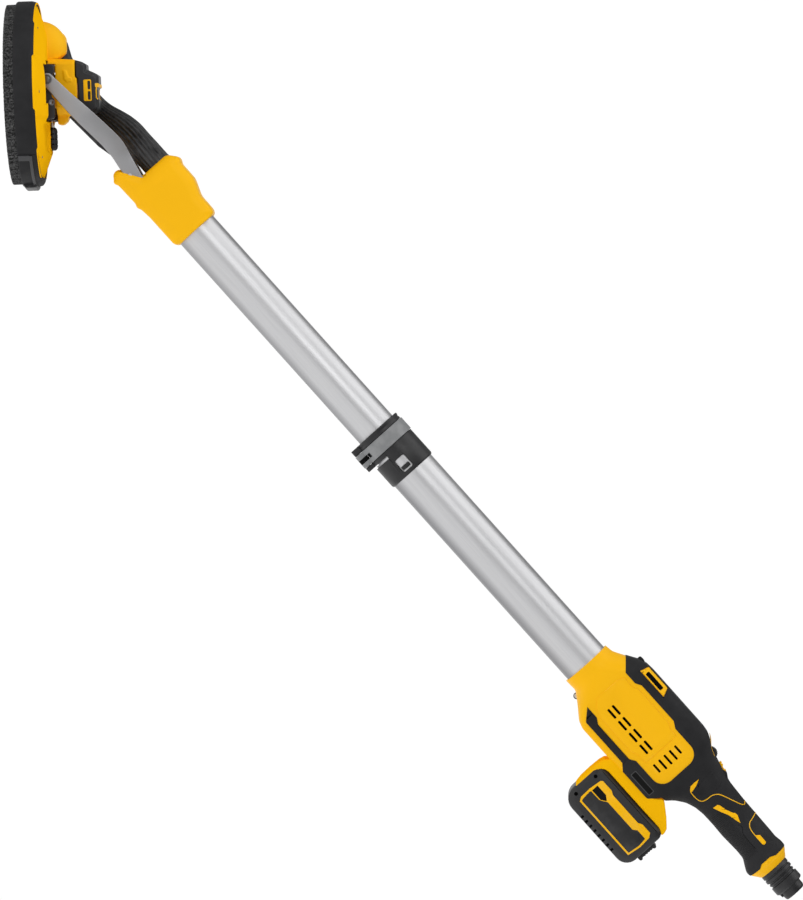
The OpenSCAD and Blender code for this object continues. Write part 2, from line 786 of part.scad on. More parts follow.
module spindle() color("silver") in_head() union() {
    disc_cyl(5, -31, 66, motor_a);
    disc_cyl(18, pad_top, -30.5, motor_a);
}

module rotor() color("#5b5b60") in_head() difference() {
    disc_cyl(15.5, 18, 46, motor_a);
    disc_cyl(5, 17, 47, motor_a);
}

module cooling_fan() color("#333336") in_head() difference() {
    union() {
        disc_cyl(9, 49, 58, motor_a);
        disc_cyl(25, 49, 50.5, motor_a);
        for (k = [0:8]) translate([motor_a, 0, 50]) rotate([0, 0, k * 40])
            translate([8, -0.8, 0]) cube([17, 1.6, 8]);
    }
    disc_cyl(5, 48, 59, motor_a);
}

module backing_pad() color("#3a3a3c") in_head() union() {
    disc_cyl(106, pad_top - 4, pad_top, motor_a);
    disc_cyl(111, pad_low, pad_top - 4, motor_a);
}

module abrasive_disc() color("#c9b79a") in_head() difference() {
    disc_cyl(disc_r, pad_low - 1.2, pad_low, motor_a);
    disc_cyl(10, pad_low - 2, pad_low + 1, motor_a);
    for (k = [0:7]) disc_cyl(6, pad_low - 2, pad_low + 1,
        motor_a + 70 * cos(k * 45), 70 * sin(k * 45));
}

// ---------- assembly ----------

outer_tube();
clamp_collar();
collar_key();
lever_pin();
clamp_lever();
housing_left();
housing_right();
overmold_left();
overmold_right();
vent_frames();
housing_screws();
control_module();
terminal_block();
rear_duct();
duct_seal();
end_ring();
hose_connector();
speed_dial();
power_switch();
battery_case();
battery_top();
battery_cells();
battery_board();
battery_latch();
inner_tube();
glide_bush();
pole_head_left();
pole_head_right();
pole_head_screws();
arm_left();
arm_right();
arm_bolts();
pivot_bushes();
hose_gland();
cable_channel();
hose_rear();
hose_front();
gimbal_ring();
pivot_screws();
roll_pins();
roll_knob();
head_cover();
skirt();
brush_ring();
edge_gate();
gate_brush();
dust_port();
dust_elbow();
motor_housing();
motor_cap();
motor_vents();
stator();
spindle_bearings();
head_screws();
spindle();
rotor();
cooling_fan();
backing_pad();
abrasive_disc();
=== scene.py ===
import json
import random
from math import cos, hypot, pi, radians, sin, sqrt

import bmesh
import bpy
import numpy as np
from mathutils import Matrix, Vector


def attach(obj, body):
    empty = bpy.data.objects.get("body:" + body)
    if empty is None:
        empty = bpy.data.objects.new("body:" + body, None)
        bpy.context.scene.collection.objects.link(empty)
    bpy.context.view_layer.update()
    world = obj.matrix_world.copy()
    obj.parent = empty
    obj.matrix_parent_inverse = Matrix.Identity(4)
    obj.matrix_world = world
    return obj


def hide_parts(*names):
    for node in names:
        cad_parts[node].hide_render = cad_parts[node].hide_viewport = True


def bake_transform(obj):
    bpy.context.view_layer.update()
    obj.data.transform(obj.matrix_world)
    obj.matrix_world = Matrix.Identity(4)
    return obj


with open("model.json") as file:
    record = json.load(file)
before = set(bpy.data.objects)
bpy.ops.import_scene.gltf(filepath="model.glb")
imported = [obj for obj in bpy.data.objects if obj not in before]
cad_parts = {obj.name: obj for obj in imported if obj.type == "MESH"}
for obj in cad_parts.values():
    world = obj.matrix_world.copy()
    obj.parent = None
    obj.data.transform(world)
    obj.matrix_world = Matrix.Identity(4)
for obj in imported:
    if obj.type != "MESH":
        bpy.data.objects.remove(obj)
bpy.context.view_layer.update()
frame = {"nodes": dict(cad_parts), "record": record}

# Lengths below are millimetres. +X runs along the pole to the hose outlet, the left side is -Y.
MM = 0.001
POLE_Z = 142.5
HEAD_TO_WORLD = Matrix.Translation((-686, 0, 129.5)) @ Matrix.Rotation(radians(40), 4, "Y")
DISC_A = 20.5  # the disc's axis in the head's own frame (a along the disc, b out of its back)
PIVOT_A, PIVOT_B = 3.5, 4
GATE_A = 133.5  # the edge gate's nose begins here
GATE_HALF = 47.7  # half of the gate's angle round the disc
HOSE_Z = 161.8  # middle of the hose where it leaves the pole head
CONNECTOR_Z = 146.4  # middle of the hose connector
BODY_SIDE, WINDOW_SIDE, GRIP_SIDE, BATTERY_SIDE = 42, 38, 26, 41  # how far these lie from the middle
TUBE_R = 29.1  # bore that holds the inner tube
ARM_END = 8.4  # radius of an arm's round end
THROUGH = 60  # half the length of a cutter that goes right through
LIP_HALF = 47.6  # half of the angle of the gate's lip
FIXED_FROM, FIXED_TO = 48, 312  # angles between which the skirt and its brush stay on the head
RIB_PITCH = 2.4  # of the grip's ribs
EYE = Vector((1.3, -8900, 449.5))  # the camera
AIM_Z = 149.5  # it looks straight ahead, at this height
ROLL_COS, ROLL_SIN = 0.6682, 0.7440
PICTURE_WIDE = 1206  # what it sees from side to side at the pole
SENSOR_WIDE = 36
FLOOR_HALF, FLOOR_Z = 60000, -0.3
random.seed(7)


# ---------- materials ----------

def new_material(name, colour, rough, metallic=0.0, specular=0.5):
    material = bpy.data.materials.new(name)
    material.use_nodes = True
    shader = material.node_tree.nodes["Principled BSDF"]
    shader.inputs["Base Color"].default_value = (*colour, 1)
    shader.inputs["Roughness"].default_value = rough
    shader.inputs["Metallic"].default_value = metallic
    shader.inputs["Specular IOR Level"].default_value = specular
    return material, material.node_tree, shader


def noise(tree, scale, detail=4.0, stretch=(1, 1, 1)):
    """Noise in the object's own space, longer along the axes whose stretch is small."""
    place = tree.nodes.new("ShaderNodeTexCoord")
    mapping = tree.nodes.new("ShaderNodeMapping")
    mapping.inputs["Scale"].default_value = stretch
    texture = tree.nodes.new("ShaderNodeTexNoise")
    texture.inputs["Scale"].default_value = scale
    texture.inputs["Detail"].default_value = detail
    tree.links.new(place.outputs["Object"], mapping.inputs["Vector"])
    tree.links.new(mapping.outputs["Vector"], texture.inputs["Vector"])
    return texture.outputs["Fac"]


def ramp(tree, value, low, high, out_low, out_high):
    """Value from low to high mapped on to out_low to out_high, clamped."""
    node = tree.nodes.new("ShaderNodeMapRange")
    node.clamp = True
    for key, v in (("From Min", low), ("From Max", high), ("To Min", out_low), ("To Max", out_high)):
        node.inputs[key].default_value = v
    tree.links.new(value, node.inputs["Value"])
    return node.outputs["Result"]


def feed(tree, socket, value):
    """Links a socket to a value that nodes give, or sets it to a number or a colour."""
    if isinstance(value, bpy.types.NodeSocket):
        tree.links.new(value, socket)
    else:
        socket.default_value = (*value, 1) if isinstance(value, tuple) else value


def mix_colour(tree, amount, one, other):
    node = tree.nodes.new("ShaderNodeMix")
    node.data_type = "RGBA"
    tree.links.new(amount, node.inputs["Factor"])
    feed(tree, node.inputs["A"], one)
    feed(tree, node.inputs["B"], other)
    return node.outputs["Result"]


def multiplied(tree, one, other):
    node = tree.nodes.new("ShaderNodeMath")
    node.operation = "MULTIPLY"
    feed(tree, node.inputs[0], one)
    feed(tree, node.inputs[1], other)
    return node.outputs[0]


def axes(tree, space="Object"):
    """A point's X, Y and Z, in the object's own space unless another is named."""
    place = tree.nodes.new("ShaderNodeTexCoord")
    parts = tree.nodes.new("ShaderNodeSeparateXYZ")
    tree.links.new(place.outputs[space], parts.inputs["Vector"])
    return parts.outputs


def bump(tree, shader, height, strength, distance):
    node = tree.nodes.new("ShaderNodeBump")
    node.inputs["Strength"].default_value = strength
    node.inputs["Distance"].default_value = distance * MM
    tree.links.new(height, node.inputs["Height"])
    earlier = shader.inputs["Normal"].links
    if earlier:
        tree.links.new(earlier[0].from_socket, node.inputs["Normal"])
    tree.links.new(node.outputs["Normal"], shader.inputs["Normal"])


def surface(name, colour, rough, metallic=0.0, specular=0.5, shade=0.12, grain=0.3, grain_scale=1800,
        stretch=(1, 1, 1), wear=None):
    """Moulded or machined finish: uneven colour and sheen, a fine grain, and paler worn edges."""
    material, tree, shader = new_material(name, colour, rough, metallic, specular)
    darker = tuple(c * (1 - shade) for c in colour)
    tone = ramp(tree, noise(tree, 9, 5), 0.35, 0.65, 0, 1)
    base = mix_colour(tree, tone, darker, colour)
    if wear:
        edge = tree.nodes.new("ShaderNodeNewGeometry").outputs["Pointiness"]
        patches = ramp(tree, noise(tree, 60, 6), 0.45, 0.62, 0, 1)
        worn = multiplied(tree, ramp(tree, edge, 0.53, 0.60, 0, 0.55), patches)
        base = mix_colour(tree, worn, base, wear)
    tree.links.new(base, shader.inputs["Base Color"])
    sheen = ramp(tree, noise(tree, 45, 6, stretch), 0.3, 0.7, rough - 0.05, rough + 0.06)
    tree.links.new(sheen, shader.inputs["Roughness"])
    bump(tree, shader, noise(tree, grain_scale, 3, stretch), grain, 0.05)
    return material


YELLOW = surface("yellow_plastic", (1.0, 0.52, 0.004), 0.42, specular=0.1, shade=0.05, grain=0.25,
    wear=(0.98, 0.62, 0.12))
MATT_YELLOW = surface("matt_yellow", (1.0, 0.52, 0.004), 0.55, specular=0.0, shade=0.05, grain=0.25)
BLACK = surface("black_plastic", (0.012, 0.012, 0.0135), 0.4, specular=0.42, shade=0.3, grain=0.35,
    wear=(0.07, 0.07, 0.072))
CASE = surface("case_plastic", (0.021, 0.021, 0.0225), 0.45, specular=0.42, shade=0.3, grain=0.35)
DARK_GREY = surface("clip_plastic", (0.055, 0.055, 0.058), 0.55, specular=0.35, shade=0.2)
LEVER = surface("lever_plastic", (0.23, 0.235, 0.24), 0.45, specular=0.4, shade=0.1, wear=(0.4, 0.4, 0.4))
STEEL = surface("steel", (0.62, 0.62, 0.6), 0.28, metallic=1, shade=0.15, grain=0.15)
DARK_STEEL = surface("dark_steel", (0.16, 0.16, 0.165), 0.35, metallic=1, shade=0.2, grain=0.2)
BRONZE = surface("bronze", (0.58, 0.42, 0.2), 0.35, metallic=1, shade=0.2)
ARM = surface("arm_aluminium", (0.36, 0.36, 0.37), 0.5, metallic=1, shade=0.12, grain=0.5, grain_scale=1400,
    wear=(0.6, 0.6, 0.6))
SHADOW = surface("vent_shadow", (0.008, 0.008, 0.008), 0.8, specular=0.1)
RUBBER = surface("pad_rubber", (0.045, 0.045, 0.048), 0.8, specular=0.2, shade=0.4, grain=0.9,
    grain_scale=500)
CIRCUIT = surface("circuit", (0.02, 0.16, 0.07), 0.5)
CELL = surface("cell_sleeve", (0.12, 0.24, 0.5), 0.4)
COPPER = surface("copper", (0.6, 0.28, 0.14), 0.4, metallic=1, grain=0.9, stretch=(1, 1, 0.05))


def tube_finish():
    """Brushed tube: fine lines along it, and painted shade that darkens its underside."""
    material, tree, shader = new_material("tube_aluminium", (0.57, 0.57, 0.58), 0.4, metallic=1)
    streaks = ramp(tree, noise(tree, 700, 4, (0.02, 1, 1)), 0.3, 0.7, 0, 1)
    metal = mix_colour(tree, streaks, (0.54, 0.54, 0.55), (0.59, 0.59, 0.6))
    # painted shade: the base colour turns darker towards the bottom of the tube
    painted_underside_shade = ramp(tree, axes(tree)["Z"], 0.1135, 0.1245, 0, 1)
    tree.links.new(mix_colour(tree, painted_underside_shade, (0.27, 0.27, 0.28), metal), shader.inputs["Base Color"])
    tree.links.new(ramp(tree, noise(tree, 60, 5, (0.05, 1, 1)), 0.3, 0.7, 0.36, 0.46),
        shader.inputs["Roughness"])
    bump(tree, shader, noise(tree, 900, 3, (0.03, 1, 1)), 0.3, 0.05)
    return material


def grip_finish():
    """Soft overmould: matt black, with upright ribs on the lower half of the grip."""
    material, tree, shader = new_material("soft_grip", (0.012, 0.012, 0.013), 0.6, specular=0.25)
    tone = ramp(tree, noise(tree, 12, 5), 0.35, 0.65, 0, 1)
    tree.links.new(mix_colour(tree, tone, (0.011, 0.011, 0.012), (0.019, 0.019, 0.0205)),
        shader.inputs["Base Color"])
    tree.links.new(ramp(tree, noise(tree, 70, 5), 0.3, 0.7, 0.64, 0.8), shader.inputs["Roughness"])
    place = axes(tree)
    wave = tree.nodes.new("ShaderNodeMath")
    wave.operation = "SINE"
    tree.links.new(multiplied(tree, place["X"], 2 * pi / (RIB_PITCH * MM)), wave.inputs[0])
    ribs = wave.outputs[0]
    for inside in (ramp(tree, place["X"], 0.640, 0.646, 0, 1), ramp(tree, place["X"], 0.716, 0.722, 1, 0),
            ramp(tree, place["Z"], 0.145, 0.149, 1, 0)):
        ribs = multiplied(tree, ribs, inside)
    bump(tree, shader, noise(tree, 1500, 3), 0.5, 0.06)
    bump(tree, shader, ribs, 0.9, 0.5)
    return material


def speckled(name, colour, rough, specular, tones, spots, edges, patches, sheen, grain, relief):
    """Two tones in fine spots, with a patchy sheen and a grain. Noise is (scale, detail, stretch)."""
    material, tree, shader = new_material(name, colour, rough, specular=specular)
    tone = ramp(tree, noise(tree, *spots), *edges, 0, 1)
    tree.links.new(mix_colour(tree, tone, *tones), shader.inputs["Base Color"])
    tree.links.new(ramp(tree, noise(tree, *patches), 0.3, 0.7, *sheen), shader.inputs["Roughness"])
    bump(tree, shader, noise(tree, *grain), *relief)
    return material


TUBE = tube_finish()
SOFT = grip_finish()
HOSE = speckled("hose_fabric", (0.012, 0.012, 0.013), 0.5, 0.5,
    tones=((0.006, 0.006, 0.007), (0.026, 0.026, 0.027)), spots=(300, 4, (0.3, 1, 1)), edges=(0.4, 0.62),
    patches=(90, 4), sheen=(0.4, 0.6), grain=(1200, 2, (0.25, 1, 1)), relief=(0.8, 0.25))
BRISTLE = speckled("bristle", (0.02, 0.02, 0.02), 0.55, 0.4,
    tones=((0.003, 0.003, 0.003), (0.11, 0.11, 0.11)), spots=(480, 4), edges=(0.42, 0.6), patches=(200, 2),
    sheen=(0.45, 0.7), grain=(900, 2), relief=(0.4, 0.2))
PAPER = speckled("abrasive_paper", (0.6, 0.5, 0.36), 0.9, 0.3,
    tones=((0.38, 0.29, 0.18), (0.72, 0.62, 0.47)), spots=(1500, 6), edges=(0.4, 0.6), patches=(700, 3),
    sheen=(0.75, 1), grain=(1800, 4), relief=(1, 0.3))

FINISHES = {"yellow_plastic": YELLOW, "black_plastic": BLACK, "soft_grip": SOFT, "tube_aluminium": TUBE,
    "arm_aluminium": ARM, "lever_plastic": LEVER, "steel": STEEL, "bronze": BRONZE, "hose_fabric": HOSE,
    "bristle": BRISTLE, "pad_rubber": RUBBER, "abrasive_paper": PAPER, "cell_sleeve": CELL,
    "circuit": CIRCUIT, "copper": COPPER}
for part in frame["record"]["subparts"]:
    node = frame["nodes"][part["node"]]
    node.data.materials.clear()
    node.data.materials.append(FINISHES[part["material_slot"]])


# ---------- mesh tools ----------

def add(name, data):
    obj = bpy.data.objects.new(name, data)
    bpy.context.scene.collection.objects.link(obj)
    return obj


def mesh_object(name, points, faces, material):
    """A mesh from points in millimetres, with doubled points joined and its faces turned outwards."""
    mesh = bpy.data.meshes.new(name)
    mesh.from_pydata([Vector(p) * MM for p in points], [], faces)
    tool = bmesh.new()
    tool.from_mesh(mesh)
    bmesh.ops.remove_doubles(tool, verts=tool.verts, dist=0.01 * MM)
    bmesh.ops.dissolve_degenerate(tool, dist=0.002 * MM, edges=tool.edges)
    bmesh.ops.recalc_face_normals(tool, faces=tool.faces)
    tool.to_mesh(mesh)
    tool.free()
    mesh.materials.append(material)
    return add(name, mesh)


def loft(name, rings, material, loop=False):
    """Skin over rings of equally many points. With loop the last ring joins the first."""
    count = len(rings[0])
    total = len(rings) * count
    points = [p for ring in rings for p in ring]
    faces = []
    for i in range(len(rings) if loop else len(rings) - 1):
        for k in range(count):
            a, b = i * count + k, i * count + (k + 1) % count
            faces.append((a, b, (b + count) % total, (a + count) % total))
    if not loop:
        faces += [tuple(range(count)), tuple(range(total - count, total))]
    return mesh_object(name, points, faces, material)


def along_x(z):
    return lambda u, v, h: (h, u, v + z)


def along_y(x, z):
    return lambda u, v, h: (u + x, h, v + z)


def along_z(x, y=0):
    return lambda u, v, h: (u + x, v + y, h)


ON_POLE, ON_DISC, ON_PIVOT = along_x(POLE_Z), along_z(DISC_A), along_y(PIVOT_A, PIVOT_B)


def turn(name, profile, place, material, segments=96, span=None, ripple=None):
    """Closed outline of (height, radius) points turned about the axis that place sets."""
    first, last = span or (0, 360)
    steps = segments if span is None else segments + 1
    rings = []
    for k in range(steps):
        t = radians(first + (last - first) * k / segments)
        swell = ripple(t) if ripple else 0
        rings.append([place((r + swell * (r > 0)) * cos(t), (r + swell * (r > 0)) * sin(t), h)
            for h, r in profile])
    return loft(name, rings, material, loop=span is None)


def rod(low, high, radius, place, material, segments=96, inner=0):
    return turn("rod", [(low, inner), (low, radius), (high, radius), (high, inner)], place, material,
        segments)


def extrude(outline, axis, low, high, material, name="solid"):
    """Outline given in the two axes other than axis, made solid from low to high."""
    put = {"x": lambda p, h: (h, p[0], p[1]), "y": lambda p, h: (p[0], h, p[1]),
        "z": lambda p, h: (p[0], p[1], h)}[axis]
    return loft(name, [[put(p, h) for p in outline] for h in (low, high)], material)


def mirrored(half):
    return half + [(a, -y) for a, y in reversed(half)]


def through(outline, material):
    """A cutter that goes right through along Y."""
    return extrude(outline, "y", -THROUGH, THROUGH, material)


def box(low, high, material):
    outline = [(low[0], low[2]), (high[0], low[2]), (high[0], high[2]), (low[0], high[2])]
    return extrude(outline, "y", low[1], high[1], material)


def rounded(x0, x1, z0, z1, radii, steps=6):
    """Rectangle with a radius for each corner, from the lower left round to the upper left."""
    points = []
    corners = ((x0, z0, 1, 1, 180), (x1, z0, -1, 1, 270), (x1, z1, -1, -1, 0), (x0, z1, 1, -1, 90))
    for (x, z, sx, sz, start), r in zip(corners, radii):
        for k in range(steps + 1):
            t = radians(start + 90 * k / steps)
            points.append((x + sx * r + r * cos(t), z + sz * r + r * sin(t)))
    return points


def sweep(path, radius, material, sides):
    """Tube along a path. radius is one number or one per point."""
    path = [Vector(p) for p in path]
    radii = [radius] * len(path) if isinstance(radius, (int, float)) else radius
    rings = []
    side = None
    for i, p in enumerate(path):
        ahead = (path[min(i + 1, len(path) - 1)] - path[max(i - 1, 0)]).normalized()
        if side is None:
            side = ahead.orthogonal().normalized()
        side = (side - ahead * side.dot(ahead)).normalized()
        up = ahead.cross(side)
        rings.append([p + radii[i] * (side * cos(t) + up * sin(t))
            for t in (2 * pi * k / sides for k in range(sides))])
    return loft("sweep", rings, material)


def smooth_path(points, steps=6):
    """Points on a smooth curve through the given ones."""
    p = [Vector(points[0]), *map(Vector, points), Vector(points[-1])]
    out = []
    for a, b, c, d in zip(p, p[1:], p[2:], p[3:]):
        square, cube = 2 * a - 5 * b + 4 * c - d, 3 * b - a - 3 * c + d
        for t in (k / steps for k in range(steps)):
            out.append(0.5 * (2 * b + (c - a) * t + square * t ** 2 + cube * t ** 3))
    return out + [p[-2]]


def settle(obj):
    """Makes the modifiers' result the object's own mesh."""
    bpy.context.view_layer.update()
    result = obj.evaluated_get(bpy.context.evaluated_depsgraph_get())
    mesh = bpy.data.meshes.new_from_object(result)
    obj.modifiers.clear()
    obj.data = mesh
    return obj


def combine(obj, other, operation):
    """Boolean of two closed meshes. The second one is used up, and its finish stays on the cut."""
    tool = obj.modifiers.new("combine", "BOOLEAN")
    tool.operation = operation
    tool.solver = "EXACT"
    tool.material_mode = "TRANSFER"
    tool.object = other
    settle(obj)
    bpy.data.objects.remove(other)
    return obj


def cut(obj, *tools):
    for tool in tools:
        combine(obj, tool, "DIFFERENCE")
    return obj


def joined(name, parts):
    """Several objects as one, with their own finishes kept."""
    tool = bmesh.new()
    finishes = []
    for part in parts:
        for m in part.data.materials:
            if m not in finishes:
                finishes.append(m)
    for part in parts:
        order = [finishes.index(m) for m in part.data.materials]
        start = len(tool.faces)
        tool.from_mesh(part.data)
        tool.faces.ensure_lookup_table()
        for face in tool.faces[start:]:
            face.material_index = order[min(face.material_index, len(order) - 1)]
        bpy.data.objects.remove(part)
    mesh = bpy.data.meshes.new(name)
    tool.to_mesh(mesh)
    tool.free()
    for m in finishes:
        mesh.materials.append(m)
    return add(name, mesh)


def soften(obj, voxel=1.2, rounds=5, keep=0.5):
    """One even skin over all of the object's solids, with its edges and joins rounded."""
    skin = obj.modifiers.new("skin", "REMESH")
    skin.mode = "VOXEL"
    skin.voxel_size = voxel * MM
    ease = obj.modifiers.new("ease", "SMOOTH")
    ease.factor = 0.5
    ease.iterations = rounds
    if keep < 1:
        obj.modifiers.new("lean", "DECIMATE").ratio = keep
    settle(obj)
    return shade(obj, 60)


def shade(obj, degrees=35):
    obj.data.shade_smooth()
    obj.data.set_sharp_from_angle(angle=radians(degrees))
    return obj


def bevel(obj, width, segments=2, degrees=35):
    tool = obj.modifiers.new("bevel", "BEVEL")
    tool.width = width * MM
    tool.segments = segments
    tool.limit_method = "ANGLE"
    tool.angle_limit = radians(degrees)
    tool.use_clamp_overlap = False
    settle(obj)
    return shade(obj, 40)


def piece(obj, body, slot, *nodes):
    """The finished piece moves with a body, and stands for CAD nodes if any are named."""
    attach(obj, body)
    if nodes:
        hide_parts(*nodes)
    return obj


def head_piece(obj, body, slot, *nodes):
    """A finished piece that was drawn in the head's own frame."""
    place = HEAD_TO_WORLD.copy()
    place.translation = place.translation * MM
    obj.data.transform(place)
    return piece(obj, body, slot, *nodes)


# ---------- handle: a skin over cross sections along the pole ----------

HANDLE_TOP = [(379, 178), (390, 179.5), (406, 188.3), (415, 193.6), (424, 199), (433, 202), (446, 203),
    (546, 202.7), (556, 201.6), (564, 198.4), (573.5, 192.3), (587, 188.3), (613.7, 181.6), (627, 178.9),
    (654, 177.3), (707.5, 176.2), (721, 175.7), (730, 177.4), (738, 177), (740, 176), (746, 171.5)]
HANDLE_LOW = [(379, 107), (396.6, 107.9), (412.7, 97.2), (428.8, 85.1), (439.5, 81.7), (567, 81.7),
    (584.2, 98.5), (593.6, 109.2), (607, 118.6), (620.4, 123.3), (633.8, 125.3), (654, 125.5), (674, 124.8),
    (700.8, 126), (714, 125.3), (723.6, 119.9), (731.6, 115.9), (738, 116.6), (740, 117.6), (746, 122)]
HANDLE_WIDE = [(379, 35.3), (394, 35.6), (406, 38.5), (418, 42), (560, 42), (590, 37), (615, 29.5),
    (640, 26), (722, 26), (731, 30.1), (739, 30), (746, 25)]
HANDLE_ROUND_TOP = [(379, 35.2), (394, 34), (418, 26), (433, 21), (560, 21), (600, 26), (640, 25.8),
    (738, 30), (746, 25)]
HANDLE_ROUND_LOW = [(379, 35.2), (394, 33), (418, 18), (440, 8), (566, 8), (600, 20), (640, 25.8),
    (738, 30), (746, 25)]


def eased(table, x, reach=2.0):
    """Value of a table at x, averaged a little to both sides so that corners are soft."""
    xs, ys = zip(*table)
    return float(np.mean([np.interp(x + d * reach, xs, ys) for d in (-1, -0.5, 0, 0.5, 1)]))


def handle_section(x, grow=0.0):
    """(top, bottom, half width, upper and lower corner radius) of the handle at x."""
    top, low, wide = (eased(t, x) for t in (HANDLE_TOP, HANDLE_LOW, HANDLE_WIDE))
    most = min(wide, (top - low) / 2) - 0.05
    return (top + grow, low - grow, wide + grow, min(eased(HANDLE_ROUND_TOP, x), most) + grow,
        min(eased(HANDLE_ROUND_LOW, x), most) + grow)


def handle_ring(x, grow=0.0):
    top, low, wide, r_top, r_low = handle_section(x, grow)
    right = []
    for k in range(11):
        t = radians(90 - 9 * k)
        right.append((wide - r_top + r_top * cos(t), top - r_top + r_top * sin(t)))
    high, deep = top - r_top, low + r_low
    right += [(wide, high + (deep - high) * k / 8) for k in range(1, 8)]
    for k in range(11):
        t = radians(-9 * k)
        right.append((wide - r_low + r_low * cos(t), low + r_low + r_low * sin(t)))
    return [(x, y, z) for y, z in right] + [(x, -y, z) for y, z in reversed(right)]


def on_side(outline, depth):
    """Outline as the eye sees it, drawn on the plane that lies depth nearer than the pole's middle."""
    near = 1 - depth / -EYE.y
    return [(EYE.x + (x - EYE.x) * near, EYE.z + (z - EYE.z) * near) for x, z in outline]


def handle_skin(name, first, last, grow, material):
    count = int((last - first) / 3)
    xs = np.linspace(first, last, count + 1)
    return loft(name, [handle_ring(x, grow) for x in xs], material)


def side_y(x, z, grow=0.0):
    """Half width of the handle at a point of its side view."""
    top, low, wide, r_top, r_low = handle_section(x, grow)
    if z > top - r_top:
        return wide - r_top + sqrt(max(r_top ** 2 - (z - top + r_top) ** 2, 0))
    if z < low + r_low:
        return wide - r_low + sqrt(max(r_low ** 2 - (z - low - r_low) ** 2, 0))
    return wide


def inlay(name, outline, grow, material, depth=BODY_SIDE, round_off=0.5):
    """The part of the handle's skin, grown by grow, that lies inside an outline in the side view."""
    outline = on_side(outline, depth)
    xs = [p[0] for p in outline]
    obj = handle_skin(name, max(min(xs) - 4, 380), min(max(xs) + 4, 745.5), grow, material)
    combine(obj, through(outline, material), "INTERSECT")
    return bevel(obj, round_off, 2, 40) if round_off else shade(obj)


def arc(x, z, r, first, last, steps=10):
    return [(x + r * cos(radians(first + (last - first) * k / steps)),
        z + r * sin(radians(first + (last - first) * k / steps))) for k in range(steps + 1)]


SOFT_ZONE = [(402, 194), (402, 230), (741.7, 230), (741.7, 160), (738, 152), (738, 137), (741.7, 131),
    (741.7, 99), (584, 97.8), (581.5, 97), (569.5, 81.9), (520.5, 81.9), (511, 89.4), (438, 89.4),
    (424, 104.6), (443, 104.6), (451, 99.6), (513.5, 99.6), (521.5, 104.9), *arc(555, 122.4, 17.5, -90, 0),
    *arc(555, 155.4, 17.5, 0, 90), (524.5, 172.9), (515, 178.2), (451, 178.2), (443, 173.5), (424, 173.5)]
VENTS = [(444.8 + 21.3 * col, 460.8 + 21.3 * col, 121.3 + 8 * row, 124.7 + 8 * row) for col in range(4)
    for row in range(2)]
VENTS += [(540.4, 555.4 + (1.5 if 0 < row < 4 else -1), 117.4 + 9.5 * row, 120.6 + 9.5 * row)
    for row in range(5)]

VENT_WINDOW = rounded(443.3, 473, 191.9, 197.8, [1.5] * 4, 3)
openings = [rounded(x0, x1, z0, z1, [1.4] * 4, 3) for x0, x1, z0, z1 in VENTS] + [VENT_WINDOW]
housing = handle_skin("housing_skin", 379, 742, 0, YELLOW)
cut(housing, rod(370, 420, 32, ON_POLE, YELLOW))
slots = [extrude(on_side(opening, BODY_SIDE), "y", y0, y0 + 18, SHADOW) for opening in openings
    for y0 in (-50, 32)]
cut(housing, joined("slots", slots))
piece(shade(housing, 40), "handle", "yellow_plastic", "housing_left", "housing_right")

PANEL = [(434, 112), (446, 108.5), (508, 108.5), (518, 113), (532, 113), (532, 167.5), (520, 167.5),
    (512, 171.5), (452, 171.5), (444, 167.5), (428, 167.5), (424, 160), (424, 122)]
plates = []
for side in (-1, 1):
    plate = extrude(on_side(PANEL, BODY_SIDE), "y", *sorted((side * 41.2, side * 42.9)), YELLOW)
    gaps = [through(on_side(opening, BODY_SIDE), YELLOW) for opening in openings[:8]]
    plates.append(bevel(cut(plate, joined("gaps", gaps)), 0.6, 3, 50))
piece(joined("side_panel", plates), "handle", "yellow_plastic")

soft = inlay("overmould_skin", SOFT_ZONE, 1.0, SOFT, round_off=0)
window = on_side([(435, 189.6), (439, 201.9), (477, 201.9), (482.2, 189.6)], WINDOW_SIDE)
cut(soft, through(window, SOFT))
bevel(soft, 0.55, 2, 40)
piece(soft, "handle", "soft_grip", "overmold_left", "overmold_right")

frames = inlay("vent_frame_skin", [(436, 190.2), (439.6, 201.3), (476.4, 201.3), (481, 190.2)], 1.5, YELLOW,
    WINDOW_SIDE, round_off=0)
cut(frames, through(on_side(VENT_WINDOW, WINDOW_SIDE), SHADOW))
bevel(frames, 0.5)
piece(frames, "handle", "yellow_plastic", "vent_frames")


def handle_line(name, points, half, material, grow, slot):
    """Thin raised line along points of the side view, on both sides of the handle."""
    both = []
    path = smooth_path([(x, 0, z) for x, z in on_side(points, GRIP_SIDE)], 4)
    for side in (-1, 1):
        on_skin = [(p.x, side * side_y(p.x, p.z, grow), p.z) for p in path]
        both.append(sweep(on_skin, half, material, 8))
    return piece(shade(joined(name, both), 60), "handle", slot)


